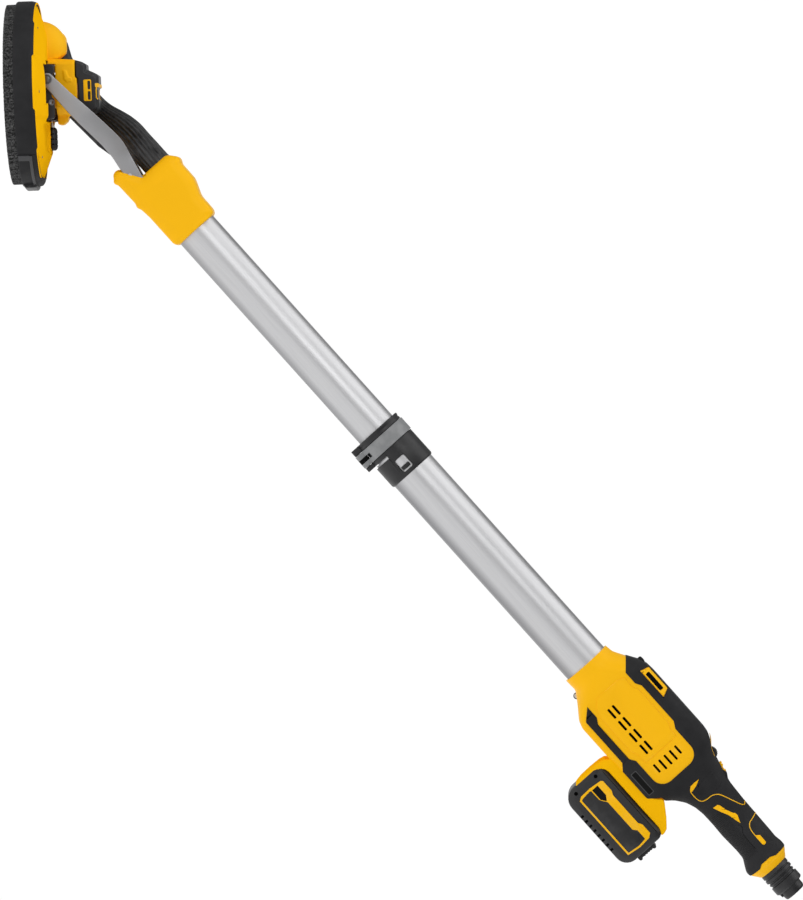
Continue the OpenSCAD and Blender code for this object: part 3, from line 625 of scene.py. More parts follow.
handle_line("grip_line_front", [(595.4, 150.8), (595.4, 138.7), (601, 132), (613.7, 131.6), (620.4, 134.7),
    (622.8, 141.4), (623.5, 149.4), (627.1, 156.1), (634.5, 160.8), (660.6, 171.5), (659.9, 176.9)], 0.62,
    YELLOW, 1.0, "yellow_plastic")
handle_line("grip_line_rear", [(681.4, 176.9), (683.4, 168.2), (685.4, 162.1), (694.1, 157.5),
    (716.9, 156.8)], 0.62, YELLOW, 1.0, "yellow_plastic")
handle_line("top_seam", [(562, 202), (567, 199), (573.5, 193.6), (580, 190), (587, 187.4)], 0.35, YELLOW,
    0.9, "yellow_plastic")
handle_line("grip_groove", [(676, 149.4), (683, 151.5), (691, 146.1), (716, 145.4)], 0.4, SHADOW, 0.8,
    "soft_grip")
for name, outline in (("grip_badge", [(637.2, 139.4), (637.8, 146.7), (640.5, 148.7), (649.9, 150.8),
        (659.3, 154.8), (662, 157.2), (666, 157.7), (670, 156.1), (676.7, 153.4), (667.3, 150.8),
        (657.9, 148.7), (647.2, 143.4)]), ("grip_patch", [(702.2, 157.5), (706.2, 162.1), (718.2, 162.1),
        (719.6, 160.1), (719.6, 157.5), (716.9, 156.1)]), ("grip_wedge",
        [(594.8, 152), (594.8, 136.7), (600.3, 131.3), (601.7, 133.5), (599.4, 143)])):
    piece(inlay(name, outline, 1.7, YELLOW, GRIP_SIDE, 0.3), "handle", "yellow_plastic")
thumb = extrude([(605, 174), (607, 184.6), (613.5, 185.6), (622.5, 180), (627, 176)], "y", -12, 12, SOFT,
    name="thumb_rest")
piece(soften(thumb, 0.8, 5), "handle", "soft_grip")
panel_grip = inlay("trigger_panel", [(598.5, 170.5), (621.5, 170.5), (621.5, 150), (619.8, 139),
    (612.5, 134.6), (602.5, 135.6), (600.5, 146)], 1.5, SOFT, GRIP_SIDE)
piece(panel_grip, "handle", "soft_grip")
badge = [inlay("b", rounded(530.4, 568.2, 86.4, 96, [1.5] * 4, 3), 1.3, DARK_GREY, round_off=0),
    inlay("b", rounded(531.6, 567, 87.6, 94.8, [1.2] * 4, 3), 1.5, SHADOW, round_off=0)]
piece(joined("blank_badge", badge), "handle", "black_plastic")

boss = turn("housing_boss", [(-6, 0), (-6, 4.6), (3.3, 5.2), (5, 4.2), (5.6, 2.5), (5.6, 0)], along_z(425),
    SOFT, 40)
boss.data.transform(Matrix.Translation((0, 0, 198 * MM)))
piece(shade(boss), "handle", "soft_grip")


def screws(name, places, body, radius, *nodes):
    """Sunk screws whose heads face +Y, each a rim, a head and a star recess."""
    parts = []
    for x, z, y in places:
        at = along_y(x, z)
        parts.append(turn(name, [(y, radius + 1.4), (y + 0.35, radius + 1.2), (y + 0.35, radius + 0.2),
            (y - 3, radius + 0.2), (y - 3, radius + 1.4)], at, BLACK, 32))
        parts.append(turn(name, [(y - 3, 0), (y - 3, radius), (y - 0.8, radius), (y - 0.4, radius - 0.6),
            (y - 0.4, 1.3), (y - 1.6, 0.9), (y - 1.6, 0)], at, STEEL, 36,
            ripple=lambda t: 0.18 * cos(6 * t)))
    return piece(shade(joined(name, parts)), body, "steel", *nodes)


screws("housing_screw_heads", [(x, z, side_y(x, z, g)) for x, z, g in ((404, 103.5, 0), (427, 179.5, 1),
    (434, 95, 0), (553, 189, 1), (569, 108, 1), (480, 87, 0))], "handle", 3.2, "housing_screws")

dock = extrude([(494, 84), (493, 79.8), (489.4, 76), (487.6, 68), (486.9, 52), (487.3, 36), (489.2, 26),
    (493, 18), (493, 57), (495, 63.5), (499.5, 67.8), (505, 69.4), (606, 69.4), (612, 67.4), (616.6, 64.6),
    (616.8, 70), (614.5, 76), (602, 86.5), (586, 97.6), (582, 98.9), (572, 90), (560, 92)], "y", -39.5,
    39.5, MATT_YELLOW, name="dock_skin")
combine(dock, extrude(mirrored([(485.8, -26), (487.5, -33), (491.6, -37), (498, -39), (575, -39.2),
    (640, -33)]), "z", 0, 120, MATT_YELLOW), "INTERSECT")
soften(dock, 1.1, 2, 0.4)
channels = [extrude([(s * y, z) for y, z in ((16, 66), (16, 79.2), (28, 79.2), (28, 73.8), (23, 73.8),
    (23, 66))], "x", 498, 640, SHADOW) for s in (-1, 1)]
cut(dock, joined("channels", channels))
shade(dock, 60)
piece(dock, "handle", "yellow_plastic")

end_ring = turn("end_ring_skin", [(734, 26), (734, 29.4), (737, 29.9), (739.5, 29.4), (749.2, 22.2),
    (750, 21.4), (750, 17.9), (744, 17.9)], along_x(146.8), YELLOW)
piece(shade(end_ring), "handle", "yellow_plastic", "end_ring")
connector = turn("connector_skin", [(739, 15), (739, 17.7), (750.2, 17.7), (750.2, 20.4), (751, 20.9),
    (755.8, 20.9), (756.4, 19.7), (757.8, 19.7), (758.4, 21), (762.6, 21), (763.4, 18.7), (765, 18.7),
    (765.6, 20.2), (767.8, 20.2), (768.4, 18.7), (770.2, 18.7), (771, 21), (781.6, 21), (783.4, 19.4),
    (784.2, 15.7), (791.2, 15.7), (794.3, 14.9), (795.2, 13.9), (795.2, 13.5)], along_x(CONNECTOR_Z), BLACK,
    96)
keys = [turn("key", [(783, 15), (783, 18.4), (788.5, 17.6), (788.5, 15)], along_x(CONNECTOR_Z), BLACK, 6,
    span=(a, a + 40)) for a in (20, 140, 260)]
piece(shade(joined("connector_skin", [connector, *keys])), "handle", "black_plastic", "hose_connector")

dial = turn("dial_skin", [(-6, 0), (-6, 8.2), (-5.2, 9), (5.2, 9), (6, 8.2), (6, 0)], along_y(580, 186.5),
    BLACK, 144, ripple=lambda t: 0.28 * cos(24 * t))
piece(shade(dial, 30), "speed_dial", "black_plastic", "speed_dial")
switch = [box((-3.8, -7.8, -4), (10.8, 7.8, 2.6), YELLOW)]
switch += [box((x, -7.4, 2), (x + 2.2, 7.4, 4.1), YELLOW) for x in (-3.6, 0.2, 8.3)]
switch = soften(joined("switch_skin", switch), 0.5, 3, 0.5)
switch.data.transform(Matrix.Translation((0.6, 0, 0.1849)) @ Matrix.Rotation(radians(14), 4, "Y"))
piece(switch, "power_switch", "yellow_plastic", "power_switch")


# ---------- battery ----------

def battery_ring(y, inset):
    corners = [max(c - inset * 0.5, 1) for c in (20, 18, 11, 13)]
    return [(x, y, z) for x, z in rounded(489.6 + inset, 617.4 - inset, inset, 69.3 - inset * 0.8, corners,
        7)]


side_steps = [(41, 7.4), (40.6, 6.6), (36.4, 1.4), (35, 0.4), (32, 0)]
rings = [battery_ring(-y, i) for y, i in side_steps] + [battery_ring(y, i) for y, i in reversed(side_steps)]
battery = loft("battery_skin", rings, CASE)
notches = [box((x - 1.6, y0, -1), (x + 1.6, y0 + 14, 5.4), SHADOW) for x in np.linspace(527, 585.7, 8)
    for y0 in (-48, 34)]
notches += [rod(-46, -36.5, 2.6, along_y(x, z), SHADOW, 20) for x, z in ((498.4, 52.5), (498.4, 17.5))]
cut(battery, joined("notches", notches))
seam = [box((480, y0, 63.4), (640, y0 + 9, 64.1), SHADOW) for y0 in (-48.3, 39.3)]
seam.append(box((612.5, -19, 19.2), (630, 19, 50.8), SHADOW))
cut(battery, joined("seam", seam))
shade(battery, 30)
piece(battery, "battery", "black_plastic", "battery_case", "battery_top")
rails = [extrude([(s * y, z) for y, z in ((17, 67), (17, 78.5), (27, 78.5), (27, 74.5), (22, 74.5),
    (22, 67))], "x", 500, 605, CASE) for s in (-1, 1)]
piece(bevel(joined("battery_rails", rails), 0.5), "battery", "black_plastic")

plate = [(511.5, 12.5), (508, 18), (507.5, 34), (509.5, 51.5), (512, 54), (529, 54), (535, 51.2),
    (585, 51.2), (590.5, 54.4), (606, 54.4), (610, 49), (611.3, 32), (608.5, 12.5)]
field = [(513, 15), (511.5, 19), (510.6, 31), (511.4, 33), (527.5, 33.2), (532.5, 36.2), (537.5, 39.8),
    (587, 39.8), (592, 44.2), (607.3, 44.2), (608.8, 32), (606.6, 15)]
arrow = [(511.5, 34.6), (511.5, 44.4), (528.5, 44.4), (535.5, 39.6), (528.5, 34.6)]
for name, outline, proud, finish, slot_name in (("battery_plate", plate, 0.5, YELLOW, "yellow_plastic"),
        ("battery_field", field, 0.8, BLACK, "black_plastic"), ("battery_arrow", arrow, 0.8, SHADOW,
        "black_plastic")):
    both = [bevel(extrude(on_side(outline, BATTERY_SIDE), "y", s * (BATTERY_SIDE - 0.4),
        s * (BATTERY_SIDE + proud), finish), 0.25) for s in (-1, 1)]
    piece(joined(name, both), "battery", slot_name)
latch = [box((618.3, -18, 20.2), (622.6, 18, 49.8), BLACK)]
latch += [rod(-17, 17, 2.6, along_y(622.2, z), BLACK, 24) for z in (22.9, 47.1)]
latch += [box((621, -15, z), (623.6, 15, z + 1.2), BLACK) for z in (29, 33, 37, 41)]
piece(soften(joined("latch_skin", latch), 0.6, 2, 0.5), "battery_latch", "black_plastic", "battery_latch")


# ---------- telescope clamp ----------

collar = turn("collar_skin", [(-41.5, TUBE_R), (-41.5, 34.2), (-40.7, 35), (-38.6, 35.1), (-36.8, 33.9),
    (-34.6, 34.7), (-33, 34.9), (-32.2, 34.2), (-32.2, 31.5), (-12, 31.5), (-12, 34.4), (-11.2, 35),
    (29.4, 35), (31.5, 34), (32.2, 32.6), (-4, 32.6), (-4, TUBE_R)], ON_POLE, BLACK, 128)
lugs = [extrude(rounded(-9, 9, 97.2, 116, [4, 4, 1, 1]), "x", x0, x1, BLACK)
    for x0, x1 in ((-41.4, -32.3), (-11.9, -5.4))]
combine(collar, joined("lugs", lugs), "UNION")
cut(collar, box((-42, 0.5, 90), (-5, 3.5, 118), SHADOW), box((-5.4, -40, 90), (-1.3, 40, 130.6), SHADOW),
    extrude(rounded(6.7, 26.1, 132.7, 149.4, [2.5] * 4), "y", -40, -25, BLACK),
    rod(-45, -3, 29.15, ON_POLE, BLACK, 128))
piece(bevel(collar, 0.5, 2, 50), "handle", "black_plastic", "clamp_collar")
lever = turn("lever_skin", [(-32, 32.5), (-32, 35.6), (-31.2, 36.3), (-13, 36.3), (-12.2, 35.6),
    (-12.2, 32.5)], ON_POLE, LEVER, 96, span=(90, 262))
combine(lever, extrude(rounded(-13, 0.8, 96.6, 111.5, [4, 3, 1, 1]), "x", -32, -12.2, LEVER), "UNION")
cut(lever, box((-24.8, -40, 90), (-18.8, -9, 115.9), SHADOW), rod(-45, -3, 32.45, ON_POLE, LEVER, 128))
piece(bevel(lever, 0.6, 2, 50), "clamp_lever", "lever_plastic", "clamp_lever")
key = extrude(rounded(18.3, 23.9, 134.9, 147.2, [2.2] * 4), "y", -34.7, -30, BLACK, name="key_skin")
piece(bevel(key, 0.4), "handle", "black_plastic", "collar_key")


# ---------- pole head, arms and hose ----------

OUTLINE = [(-401, 114), (-401, 171.5), (-403.2, 175.4), (-408, 177.4), (-431.5, 177.8), (-438, 180.2),
    (-450, 185), (-455.6, 186.9), (-481, 187), (-485.5, 190), (-490, 190.3), (-499, 183), (-502.5, 178),
    (-502.7, 137.6), (-525.8, 122.6), *arc(-522.6, 114.6, 8.7, 125, 262), (-524, 104.5), (-519.9, 101.8),
    (-515, 104.8), (-481, 105.6), (-475.7, 103.2), (-470, 106), (-455, 107.5), (-408, 107.6),
    (-403.2, 109.6)]


def pillow(obj, edges, radius, flat, least):
    """Rounds a thick plate over: near its outline the half thickness falls from flat to least."""
    count = len(obj.data.vertices)
    co = np.empty(count * 3)
    obj.data.vertices.foreach_get("co", co)
    co = co.reshape(-1, 3)
    gap = np.full(count, float(radius))
    for start, end in zip(edges, edges[1:]):
        start, run = np.array(start) * MM, (np.array(end) - start) * MM
        off = co[:, (0, 2)] - start
        along = np.clip(off @ run / (run @ run), 0, 1)
        gap = np.minimum(gap, np.linalg.norm(off - along[:, None] * run, axis=1) / MM)
    half = (least + (flat - least) * np.sqrt(1 - (1 - gap / radius) ** 2)) * MM
    co[:, 1] = np.clip(co[:, 1], -half, half)
    obj.data.vertices.foreach_set("co", co.ravel())
    return obj


plate = soften(extrude(OUTLINE, "y", -35.2, 35.2, YELLOW), 1.5, 0, 1)
end_band = turn("band", [(-440, 29.5), (-440, 34), (-409, 35), (-404.4, 33.6), (-401.6, 31.2),
    (-401, 29.5)], ON_POLE, YELLOW, 96)
pole_head = joined("pole_head_skin", [pillow(plate, OUTLINE[1:] + OUTLINE[:1], 17, 35.2, 24.5), end_band])
soften(pole_head, 1.2, 7, 1)
cut(pole_head, rod(-480, -399, TUBE_R, ON_POLE, YELLOW, 96),
    rod(-510, -490, 19.9, along_x(HOSE_Z), SHADOW, 64), box((-560, -30.3, 117), (-490, -24.8, 142.2),
    YELLOW), box((-560, 24.8, 117), (-490, 30.3, 142.2), YELLOW))
piece(shade(pole_head, 50), "pole", "yellow_plastic", "pole_head_left", "pole_head_right")
gland = turn("gland_skin", [(-502.2, 19.7), (-502.2, 20), (-498, 20), (-498, 19.7)], along_x(HOSE_Z), BLACK,
    64)
piece(shade(gland), "pole", "black_plastic", "hose_gland")
screws("pole_head_screw_heads", [(-475.7, 114, 30.6), (-515, 113, 25.5), (-470, 178, 31), (-412, 113, 27)],
    "pole", 2.8, "pole_head_screws")

PIVOT = HEAD_TO_WORLD @ Vector((PIVOT_A, 0, PIVOT_B))
ARM_TOP = [(PIVOT.x, PIVOT.z + ARM_END), (-646, 141.5), (-620, 145.2), (-592, 147.8), (-569, 149.5),
    (-557, 149.7), (-546, 147.8), (-537, 145.2), (-502.5, 137.2), (-468, 136)]
ARM_LOW = [(PIVOT.x, PIVOT.z - ARM_END), (-624, 121.6), (-569, 125.3), (-548, 124.6), (-529.3, 121.3),
    (-468, 118)]
ARM_IN = [(-710, 61), (-612, 61), (-537, 25), (-468, 25)]


def arm(side):
    rings = []
    start = PIVOT.x - ARM_END
    xs = [start + ARM_END * (1 - cos(radians(9 * k))) for k in range(11)]
    xs += list(np.linspace(PIVOT.x + 3, -482, 64))
    for x in xs:
        if x <= PIVOT.x:
            half = sqrt(max(ARM_END ** 2 - (x - PIVOT.x) ** 2, 0.05))
            top, low = PIVOT.z + half, PIVOT.z - half
        else:
            top, low = eased(ARM_TOP, x, 4), eased(ARM_LOW, x, 4)
        inner = eased(ARM_IN, x, 7)
        outline = rounded(inner, inner + 5, low, top, [min(1.1, (top - low) / 2.1)] * 4, 3)
        rings.append([(x, side * y, z) for y, z in outline])
    return shade(loft("arm_skin", rings, ARM), 50)


piece(arm(-1), "pole", "arm_aluminium", "arm_left")
piece(arm(1), "pole", "arm_aluminium", "arm_right")

HOSE_ROUTE = [(-498, 0, HOSE_Z, 19.7, 19.7), (-515, 0, HOSE_Z, 19.7, 19.7), (-530, 1.5, 161.9, 19.7, 19.7),
    (-545, 5, 162, 19.5, 19.6), (-560, 11.5, 161.8, 19, 19.4), (-575, 20, 160.2, 17.8, 18.2),
    (-590, 29.5, 157.4, 15.6, 16.4), (-600, 37.5, 155.2, 13.6, 14.4), (-609, 44.4, 153.8, 12.7, 13),
    (-620, 46, 153.2, 12.6, 12.4), (-632, 46.6, 153.6, 12.5, 12), (-645, 46.6, 154.5, 12.4, 12),
    (-658, 46.3, 155.7, 12.3, 12), (-671, 45.5, 157.1, 12.1, 12)]


def hose_ring(x, sides=132, pleats=22):
    """Pleated section of the hose. The pleats drift round it and fade at its ends."""
    xs = [p[0] for p in reversed(HOSE_ROUTE)]
    y, z, wide, high = (eased([(p[0], p[k]) for p in reversed(HOSE_ROUTE)], x, 5) for k in (1, 2, 3, 4))
    fade = min(1, (xs[-1] - x) / 14, (x - xs[0]) / 10)
    ring = []
    for k in range(sides):
        t = 2 * pi * k / sides
        drift = 1.1 * sin(x / 33 + 0.6 * sin(2 * t)) + 0.5 * sin(x / 17 + t)
        depth = 0.045 + 0.025 * sin(3 * t + x / 21)
        swell = 1 - fade * depth * (1 - sin(pleats * t + drift))
        swell *= 1 + 0.012 * fade * sin(x / 8 + 2 * t)
        ring.append((x, y + wide * cos(t) * min(swell, 1.0), z + high * sin(t) * min(swell, 1.0)))
    return ring


def hose_part(name, first, last, node):
    count = int(abs(last - first) / 1.6)
    obj = shade(loft(name, [hose_ring(x) for x in np.linspace(first, last, count)], HOSE), 60)
    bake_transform(obj)
    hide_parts(node)


hose_part("hose_rear_skin", -498.5, -620, "hose_rear")
hose_part("hose_front_skin", -620, -672, "hose_front")


# ---------- gimbal ----------

bars = []
for s in (-1, 1):
    lo, hi = sorted((s * 53, s * 60))
    rear = rounded(-17, 57, -6, 9, [3] * 4) if s < 0 else [(-17, -6), (57, -6), (57, 9), (-4, 9), (-5.8, 5),
        (-17, 5)]
    bars.append(extrude(rear, "y", lo, hi, BLACK))
    bars.append(rod(lo, hi, 9.5, ON_PIVOT, BLACK, 48))
for a in (-17, 47):
    bars.append(box((a, -54, -6), (a + 10, 54, 1.8), BLACK))
    bars.append(rod(a, a + 10, 6.5, along_x(PIVOT_B), BLACK, 40))
bars.append(extrude(rounded(-16.5, -4, 0, 13.6, [1, 1, 3, 4]), "y", -60, -53, BLACK))
bars.append(extrude(rounded(28, 56.5, 0, 12.8, [1, 1, 5, 4]), "y", -60, -53, BLACK))
gimbal = soften(joined("gimbal_skin", bars), 0.9, 4, 0.5)
head_piece(gimbal, "gimbal", "black_plastic", "gimbal_ring")
screw = turn("gimbal_screw", [(-60.3, 0), (-60.3, 1.6), (-60.8, 2.4), (-60.8, 3.6), (-60.3, 4.2),
    (-57, 4.2), (-57, 0)], along_y(34, 8.6), DARK_STEEL, 40)
head_piece(shade(screw), "gimbal", "steel")

bolts = []
for s in (-1, 1):
    bolts.append(turn("b", [(s * 53, 0), (s * 53, 4), (s * 60, 4), (s * 60, 5), (s * 66.1, 5),
        (s * 66.1, 6.4), (s * 67.2, 6.2), (s * 67.2, 5.2), (s * 66.6, 4.9), (s * 66.6, 4), (s * 67.8, 3.6),
        (s * 68.2, 2.2), (s * 68.2, 0)], ON_PIVOT, DARK_STEEL, 64))
pivots = shade(joined("pivot_screw_skin", bolts))
head_piece(pivots, "gimbal", "steel", "pivot_screws")

profile = [(66, 0), (66, 3.6), (66.8, 5), (68.6, 6.3), (71.4, 7), (91, 7), (94, 6.4), (96.2, 5), (97, 3.4),
    (97, 0)]
knob = turn("knob_skin", profile, along_x(PIVOT_B), BLACK, 144, ripple=lambda t: 0.55 * cos(6 * t) - 0.3)
grooves = [rod(a, a + 1.6, 9, along_x(PIVOT_B), SHADOW, 72, inner=6.3) for a in (74, 81, 88)]
cut(knob, joined("grooves", grooves))
head_piece(bevel(knob, 0.35, 2, 50), "roll_knob", "black_plastic", "roll_knob")


# ---------- sanding head ----------

def between(value, low, high, ease):
    """1 between low and high, falling to 0 over a distance of ease outside them."""
    return max(0.0, min(1.0, (value - low) / ease + 1, (high - value) / ease + 1))


def cover_height(a, y):
    """Height of the cover's back: a flat top that falls to the rim, with shoulders beside the gimbal."""
    r = max(hypot(a - DISC_A, y), 1)
    top = 3 + 2.2 * between(a, -22, 52, 6) * between(abs(y), 70, 200, 8)
    cone = top - (15 - 3 * (y / r) ** 2) * max(r - 80, 0) / 38
    side = top - 0.15 * max(abs(y) - 73, 0) - 0.2 * max(abs(y) - 84, 0)
    front = 2.4 - (0.37 if a > 105 else 0.1) * (a - 105)
    beside_knob = 5.5 - 7.5 * between(a, 64, 98, 6) * between(abs(y), 18, 200, 6)
    return min(top, cone, side, front, beside_knob)


def rim_height(angle):
    """Height of the line where the cover ends and the skirt begins. Tabs of the cover reach lower."""
    a = DISC_A + 121 * cos(angle)
    return -11.2 if -26 < a < 43 else -9 if -72 < a < 96 else -10.6


def skirt_radius(b):
    return float(np.interp(b, (-17, -12.2, -9.4, -7.8), (124.4, 123.2, 121.2, 118.4)))


def head_ring(angle, outline):
    return [(DISC_A + r * cos(angle), r * sin(angle), b) for b, r in outline]


rings = []
for r in (0, *range(12, 118, 3), 118):
    rings.append([(DISC_A + r * cos(t), r * sin(t), cover_height(DISC_A + r * cos(t), r * sin(t)))
        for t in (2 * pi * k / 240 for k in range(240))])
edges = []
for k in range(240):
    t = 2 * pi * k / 240
    b = rim_height(t)
    lip = skirt_radius(b) + 0.3
    edges.append(head_ring(t, [(b + 1.3, lip - 1.6), (b + 0.5, lip), (b - 0.4, lip), (b - 1, lip - 1.5),
        (-18, 110), (-27.5, 110), (-27.5, 0)]))
rings += [list(ring) for ring in zip(*edges)]
cover = loft("cover_skin", rings, MATT_YELLOW)
pocket = mirrored([(-22, -73), (-16, -73), (-16, -84), (36, -84), (36, -73), (60, -73)])
cut(cover, extrude(pocket, "z", -25, 30, MATT_YELLOW), box((55, -14, -5), (101, 14, 30), MATT_YELLOW),
    box((GATE_A, -THROUGH, -20), (160, THROUGH, 5), MATT_YELLOW))
bump_end = extrude(rounded(92, 104, -5, 2.4, [0, 0, 4, 4]), "y", -6, 6, MATT_YELLOW)
combine(cover, bump_end, "UNION")
head_piece(bevel(cover, 0.8, 2, 50), "head", "yellow_plastic", "head_cover")
heads = []
for t in (35, 90, 145, 215, 270, 325):
    a, y = DISC_A + 104 * cos(radians(t)), 104 * sin(radians(t))
    b = cover_height(a, y)
    heads.append(turn("s", [(b - 3, 0), (b - 3, 2), (b + 0.1, 2), (b + 0.1, 1.2), (b - 0.6, 0.9),
        (b - 0.6, 0)], along_z(a, y), DARK_STEEL, 36, ripple=lambda t: 0.12 * cos(6 * t)))
head_piece(joined("cover_screw_heads", heads), "head", "steel", "head_screws")

SKIRT = [(-9.4, 118.4), (-10.4, 121.2), (-12.2, 123.2), (-17, 124.4), (-35.2, 124.4), (-36.8, 123.4),
    (-36.8, 117.6), (-20, 117.6)]
hems = []
for t in (radians(FIXED_FROM + 1.5 * k) for k in range(177)):
    b = rim_height(t)
    hems.append(head_ring(t, [(b + 0.6, 118.4), (b, skirt_radius(b) - 0.3),
        (b - 1.4, skirt_radius(b - 1.4)), *SKIRT[3:]]))
head_piece(shade(loft("skirt_skin", hems, SOFT), 30), "head", "soft_grip", "skirt")
gate = [turn("e", SKIRT, ON_DISC, SOFT, 72, span=(-GATE_HALF, GATE_HALF)),
    turn("e", [(-17.5, 124), (-17.5, 125.4), (-18, 126), (-21.2, 126), (-21.6, 125.4), (-21.6, 124)],
    ON_DISC, DARK_GREY, 72, span=(-LIP_HALF, LIP_HALF)), turn("e",
    [(-17, 124), (-17, 128.4), (-18, 129.4), (-31, 129.4), (-32.4, 128.6), (-36, 124)], ON_DISC, BLACK, 24,
    span=(-14, 14))]
gate += [turn("e", [(-17.5, 124), (-17.5, 125.4), (-18, 126), (-35, 126), (-35.8, 125.4), (-35.8, 124)],
    ON_DISC, DARK_GREY, 8, span=span) for span in ((-LIP_HALF, -43.6), (43.6, LIP_HALF))]
nose = turn("e", [(-14, 100), (-7.2, 110), (-7.9, 113), (-9.7, 120.6), (-11.5, 122.9), (-14, 123.2)],
    ON_DISC, SOFT, 96)
combine(nose, box((GATE_A, -THROUGH, -20), (160, THROUGH, 0), SOFT), "INTERSECT")
gate.append(nose)
head_piece(shade(joined("gate_skin", gate), 30), "edge_gate", "black_plastic", "edge_gate")


def brush(name, first, last, count, body, node):
    """Tufted brush: a core ring and single bristles, each a thin leaning prism."""
    core = turn("core", [(-36.5, 114.6), (-36.5, 119.4), (-47, 119), (-47, 115)], ON_DISC, SHADOW, 120,
        span=(first, last))
    points, faces = [], []
    for _ in range(count):
        t = radians(random.uniform(first, last))
        r = random.choice((113.9, 115.8, 117.6, 119.3, 120.0)) + random.uniform(-0.35, 0.35)
        lean_t, lean_r, turned = random.gauss(0, 0.006), random.gauss(0, 0.35), random.uniform(0, 6.3)
        end = -50.5 + abs(random.gauss(0, 0.5))
        start = len(points)
        for b, dt, dr, thick in ((-36.4, 0, 0, 0.42), (end, lean_t, lean_r, 0.3)):
            for k in range(3):
                spin = 2.094 * k + turned  # by a third of a turn each
                rr = min(max(r + dr, 113.6), 120.2) + thick * cos(spin)
                tt = t + dt + thick * sin(spin) / 120
                points.append((DISC_A + rr * cos(tt), rr * sin(tt), b))
        faces += [(start + k, start + (k + 1) % 3, start + 3 + (k + 1) % 3, start + 3 + k)
            for k in range(3)]
        faces.append((start + 3, start + 4, start + 5))
    mesh = bpy.data.meshes.new(name)
    mesh.from_pydata([Vector(p) * MM for p in points], [], faces)
    mesh.materials.append(BRISTLE)
    head_piece(joined(name, [add(name, mesh), core]), body, "bristle", node)


brush("brush_skin", FIXED_FROM, FIXED_TO, 7600, "head", "brush_ring")
brush("gate_brush_skin", -GATE_HALF, GATE_HALF, 2800, "edge_gate", "gate_brush")

ball = turn("dome", [(36.4 * sin(radians(t)) - 9, 36.4 * cos(radians(t)))
    for t in range(6, 91, 6)] + [(-5, 0)], along_z(-40.4), YELLOW, 72)
ball.data.transform(Matrix.Diagonal((1, 0.8, 1, 1)))
cut(ball, through([(-34, 29), (-20, 29), (-20, 5), (-26, 17)], YELLOW))
outlet = turn("dome", [(8, 0), (8, 14), (25.5, 13.4), (25.5, 0)], along_y(-49.5, 12.4), YELLOW, 48)
dome = soften(joined("dome_skin", [ball, outlet]), 1.1, 5, 1)
cut(dome, box((-25.4, -THROUGH, -20), (20, THROUGH, 60), YELLOW),
    box((-90, -THROUGH, -20), (20, THROUGH, -8), YELLOW))
head_piece(shade(dome, 50), "head", "yellow_plastic", "dust_port")

route = smooth_path([(-49.6, 18, 13), (-49, 25, 13.7), (-46.8, 34, 14.5), (-42, 41, 15.5),
    (-34, 43.5, 17.2), (-22, 44.6, 20.6), (-6.6, 45.5, 30.2)], 5)
sizes = [10.4 + 1.6 * k / (len(route) - 1) for k in range(len(route))]
elbow = [sweep(route, sizes, BLACK, 40), sweep(route[-3:], 12.6, BLACK, 40)]
head_piece(bevel(joined("elbow_skin", elbow), 0.7, 2, 50), "head", "black_plastic", "dust_elbow")

body = extrude([(-26, 2), (-25, 12), (-23, 39), (0, 38.5), (3, 41), (46, 41), (50, 33), (50, 12.6),
    (-18, 12.6), (-18, 2)], "y", -33, 33, YELLOW)
combine(body, extrude(mirrored([(-27, -22), (-18, -33), (40, -33), (51, -20)]), "z", -5, 60, YELLOW),
    "INTERSECT")
lobe = extrude([(40, 33), (50, 33), (52, 28.5), (59.5, 25), (63.3, 20), (63.3, 15), (61.5, 12.6),
    (40, 12.6)], "y", -14, 14, YELLOW)
neck = turn("neck", [(-24.9, 0), (-24.9, 22), (-20, 20), (14, 20), (14, 0)], ON_DISC, YELLOW, 64)
relief = [extrude([(-9, 23.5), (3.5, 24.5), (6.8, 28), (6.4, 34), (2.5, 34.5), (1, 30), (-8, 27)], "y",
    s * 30, s * 34.4, YELLOW) for s in (-1, 1)]
motor = soften(joined("motor_skin", [body, lobe, neck, *relief]), 0.95, 4, 0.6)
head_piece(motor, "head", "yellow_plastic", "motor_housing")

CAP = [(-22.6, 38.6), (-20, 47.5), (-16.4, 53.4), (-15, 54), (-9.2, 54), (-7.6, 58), (-5, 63.5), (-1.5, 69),
    (0, 70), (30, 70), (33, 69.5), (45, 69), (49, 62), (49, 41.2), (3, 41.2), (0, 38.6)]
CAP_SIDE = [(-20.5, 39.5), (-18, 47), (-15, 51), (-6, 51.5), (-2, 62), (2, 66.5), (43, 66), (47.6, 60),
    (47.6, 42), (3, 42), (0, 39.5)]
cap = [extrude(CAP, "y", -24, 24, BLACK), extrude(CAP_SIDE, "y", -31.2, 31.2, BLACK)]
cap = soften(joined("cap_skin", cap), 0.95, 6, 1)
NOTCH = [(10.5, 72), (15.5, 68.6), (18, 67), (29, 67), (33, 71), (33, 80), (10.5, 80)]
cut(cap, extrude(NOTCH, "y", -40, 40, BLACK))
head_piece(shade(cap, 50), "head", "black_plastic", "motor_cap")
trims = []
for s in (-1, 1):
    rim = extrude(rounded(4.4, 33.2, 49.8, 60.2, [2] * 4), "y", s * 29.5, s * 32.4, YELLOW)
    for a0, a1 in ((6.2, 17.6), (20.2, 31.4)):
        cut(rim, extrude(rounded(a0, a1, 55.4, 58.9, [1.3] * 4, 3), "y", s * 31, s * 40, SHADOW))
    trims.append(bevel(rim, 0.4))
    line = [(14, 67.4), (18.4, 66.4), (28.8, 66.4), (31.4, 68.3)]
    trims.append(sweep([(a, s * 30.6 * (1 - (a - 14) * 0.002), b) for a, b in line], 0.8, YELLOW, 10))
trims.append(extrude(rounded(9.7, 15, 65.2, 70.2, [1, 1, 1.4, 1.4]), "y", -31, 31, YELLOW))
head_piece(shade(joined("vent_trim", trims), 50), "head", "yellow_plastic", "motor_vents")


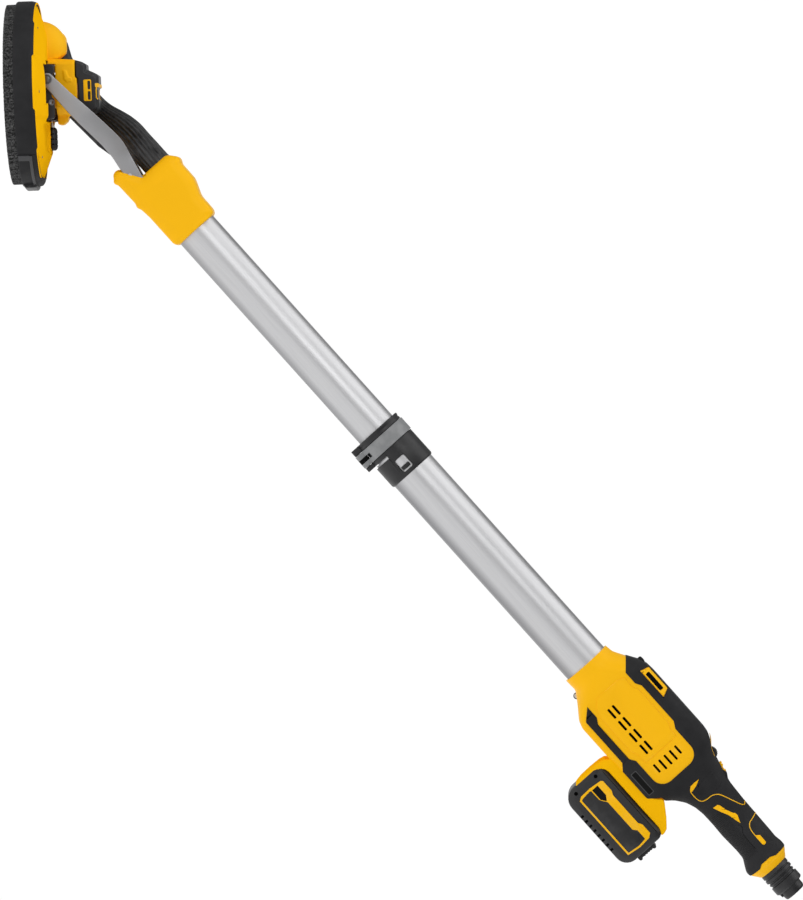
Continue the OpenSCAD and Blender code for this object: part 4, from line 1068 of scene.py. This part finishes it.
# ---------- stage, light and camera ----------

def flat_plane(name, size, z, material):
    return mesh_object(name, [(-size, -size, z), (size, -size, z), (size, size, z), (-size, size, z)],
        [(0, 1, 2, 3)], material)


stage_finish, tree, shader = new_material("stage", (0.08, 0.08, 0.08), 0.9, specular=0.05)
shader.inputs["Emission Color"].default_value = (1, 1, 1, 1)
shader.inputs["Emission Strength"].default_value = 0.98
floor = flat_plane("floor", FLOOR_HALF, FLOOR_Z, stage_finish)

world = bpy.data.worlds.new("studio")
bpy.context.scene.world = world
world.use_nodes = True
tree = world.node_tree
direction = axes(tree, "Generated")
behind = ramp(tree, direction["Y"], 0.93, 0.985, 0.5, 1.02)
low = ramp(tree, direction["Z"], 0.15, 0.4, 0, 1)
sky = tree.nodes.new("ShaderNodeMix")
tree.links.new(low, sky.inputs["Factor"])
tree.links.new(behind, sky.inputs["A"])
sky.inputs["B"].default_value = 0.25
tree.links.new(sky.outputs["Result"], tree.nodes["Background"].inputs["Strength"])
tree.nodes["Background"].inputs["Color"].default_value = (1, 1, 1, 1)


def softbox(name, location, target, size, watts):
    light = bpy.data.lights.new(name, "AREA")
    light.shape = "RECTANGLE"
    light.size, light.size_y = size
    light.energy = watts
    obj = add(name, light)
    obj.location = location
    obj.rotation_euler = (Vector(target) - Vector(location)).to_track_quat("-Z", "Y").to_euler()


softbox("key", (-0.9, -2.6, 2.0), (0, 0, 0.1), (3.0, 1.5), 32)
softbox("top", (0, -0.1, 2.4), (0, 0, 0.1), (4.2, 2.2), 38)

camera = bpy.data.cameras.new("camera")
view = add("camera", camera)
bpy.context.scene.camera = view
aim = Vector((EYE.x, 0, AIM_Z))
back = (EYE - aim).normalized()
level = Vector((1, 0, 0))
rise = back.cross(level)
camera.sensor_width = SENSOR_WIDE
camera.lens = SENSOR_WIDE * (EYE - aim).length / PICTURE_WIDE
camera.clip_end = 500
turned = Matrix((ROLL_COS * level + ROLL_SIN * rise, ROLL_COS * rise - ROLL_SIN * level, back)).transposed()
view.matrix_world = Matrix.Translation(EYE * MM) @ turned.to_4x4()
bpy.context.scene.view_settings.view_transform = "Standard"
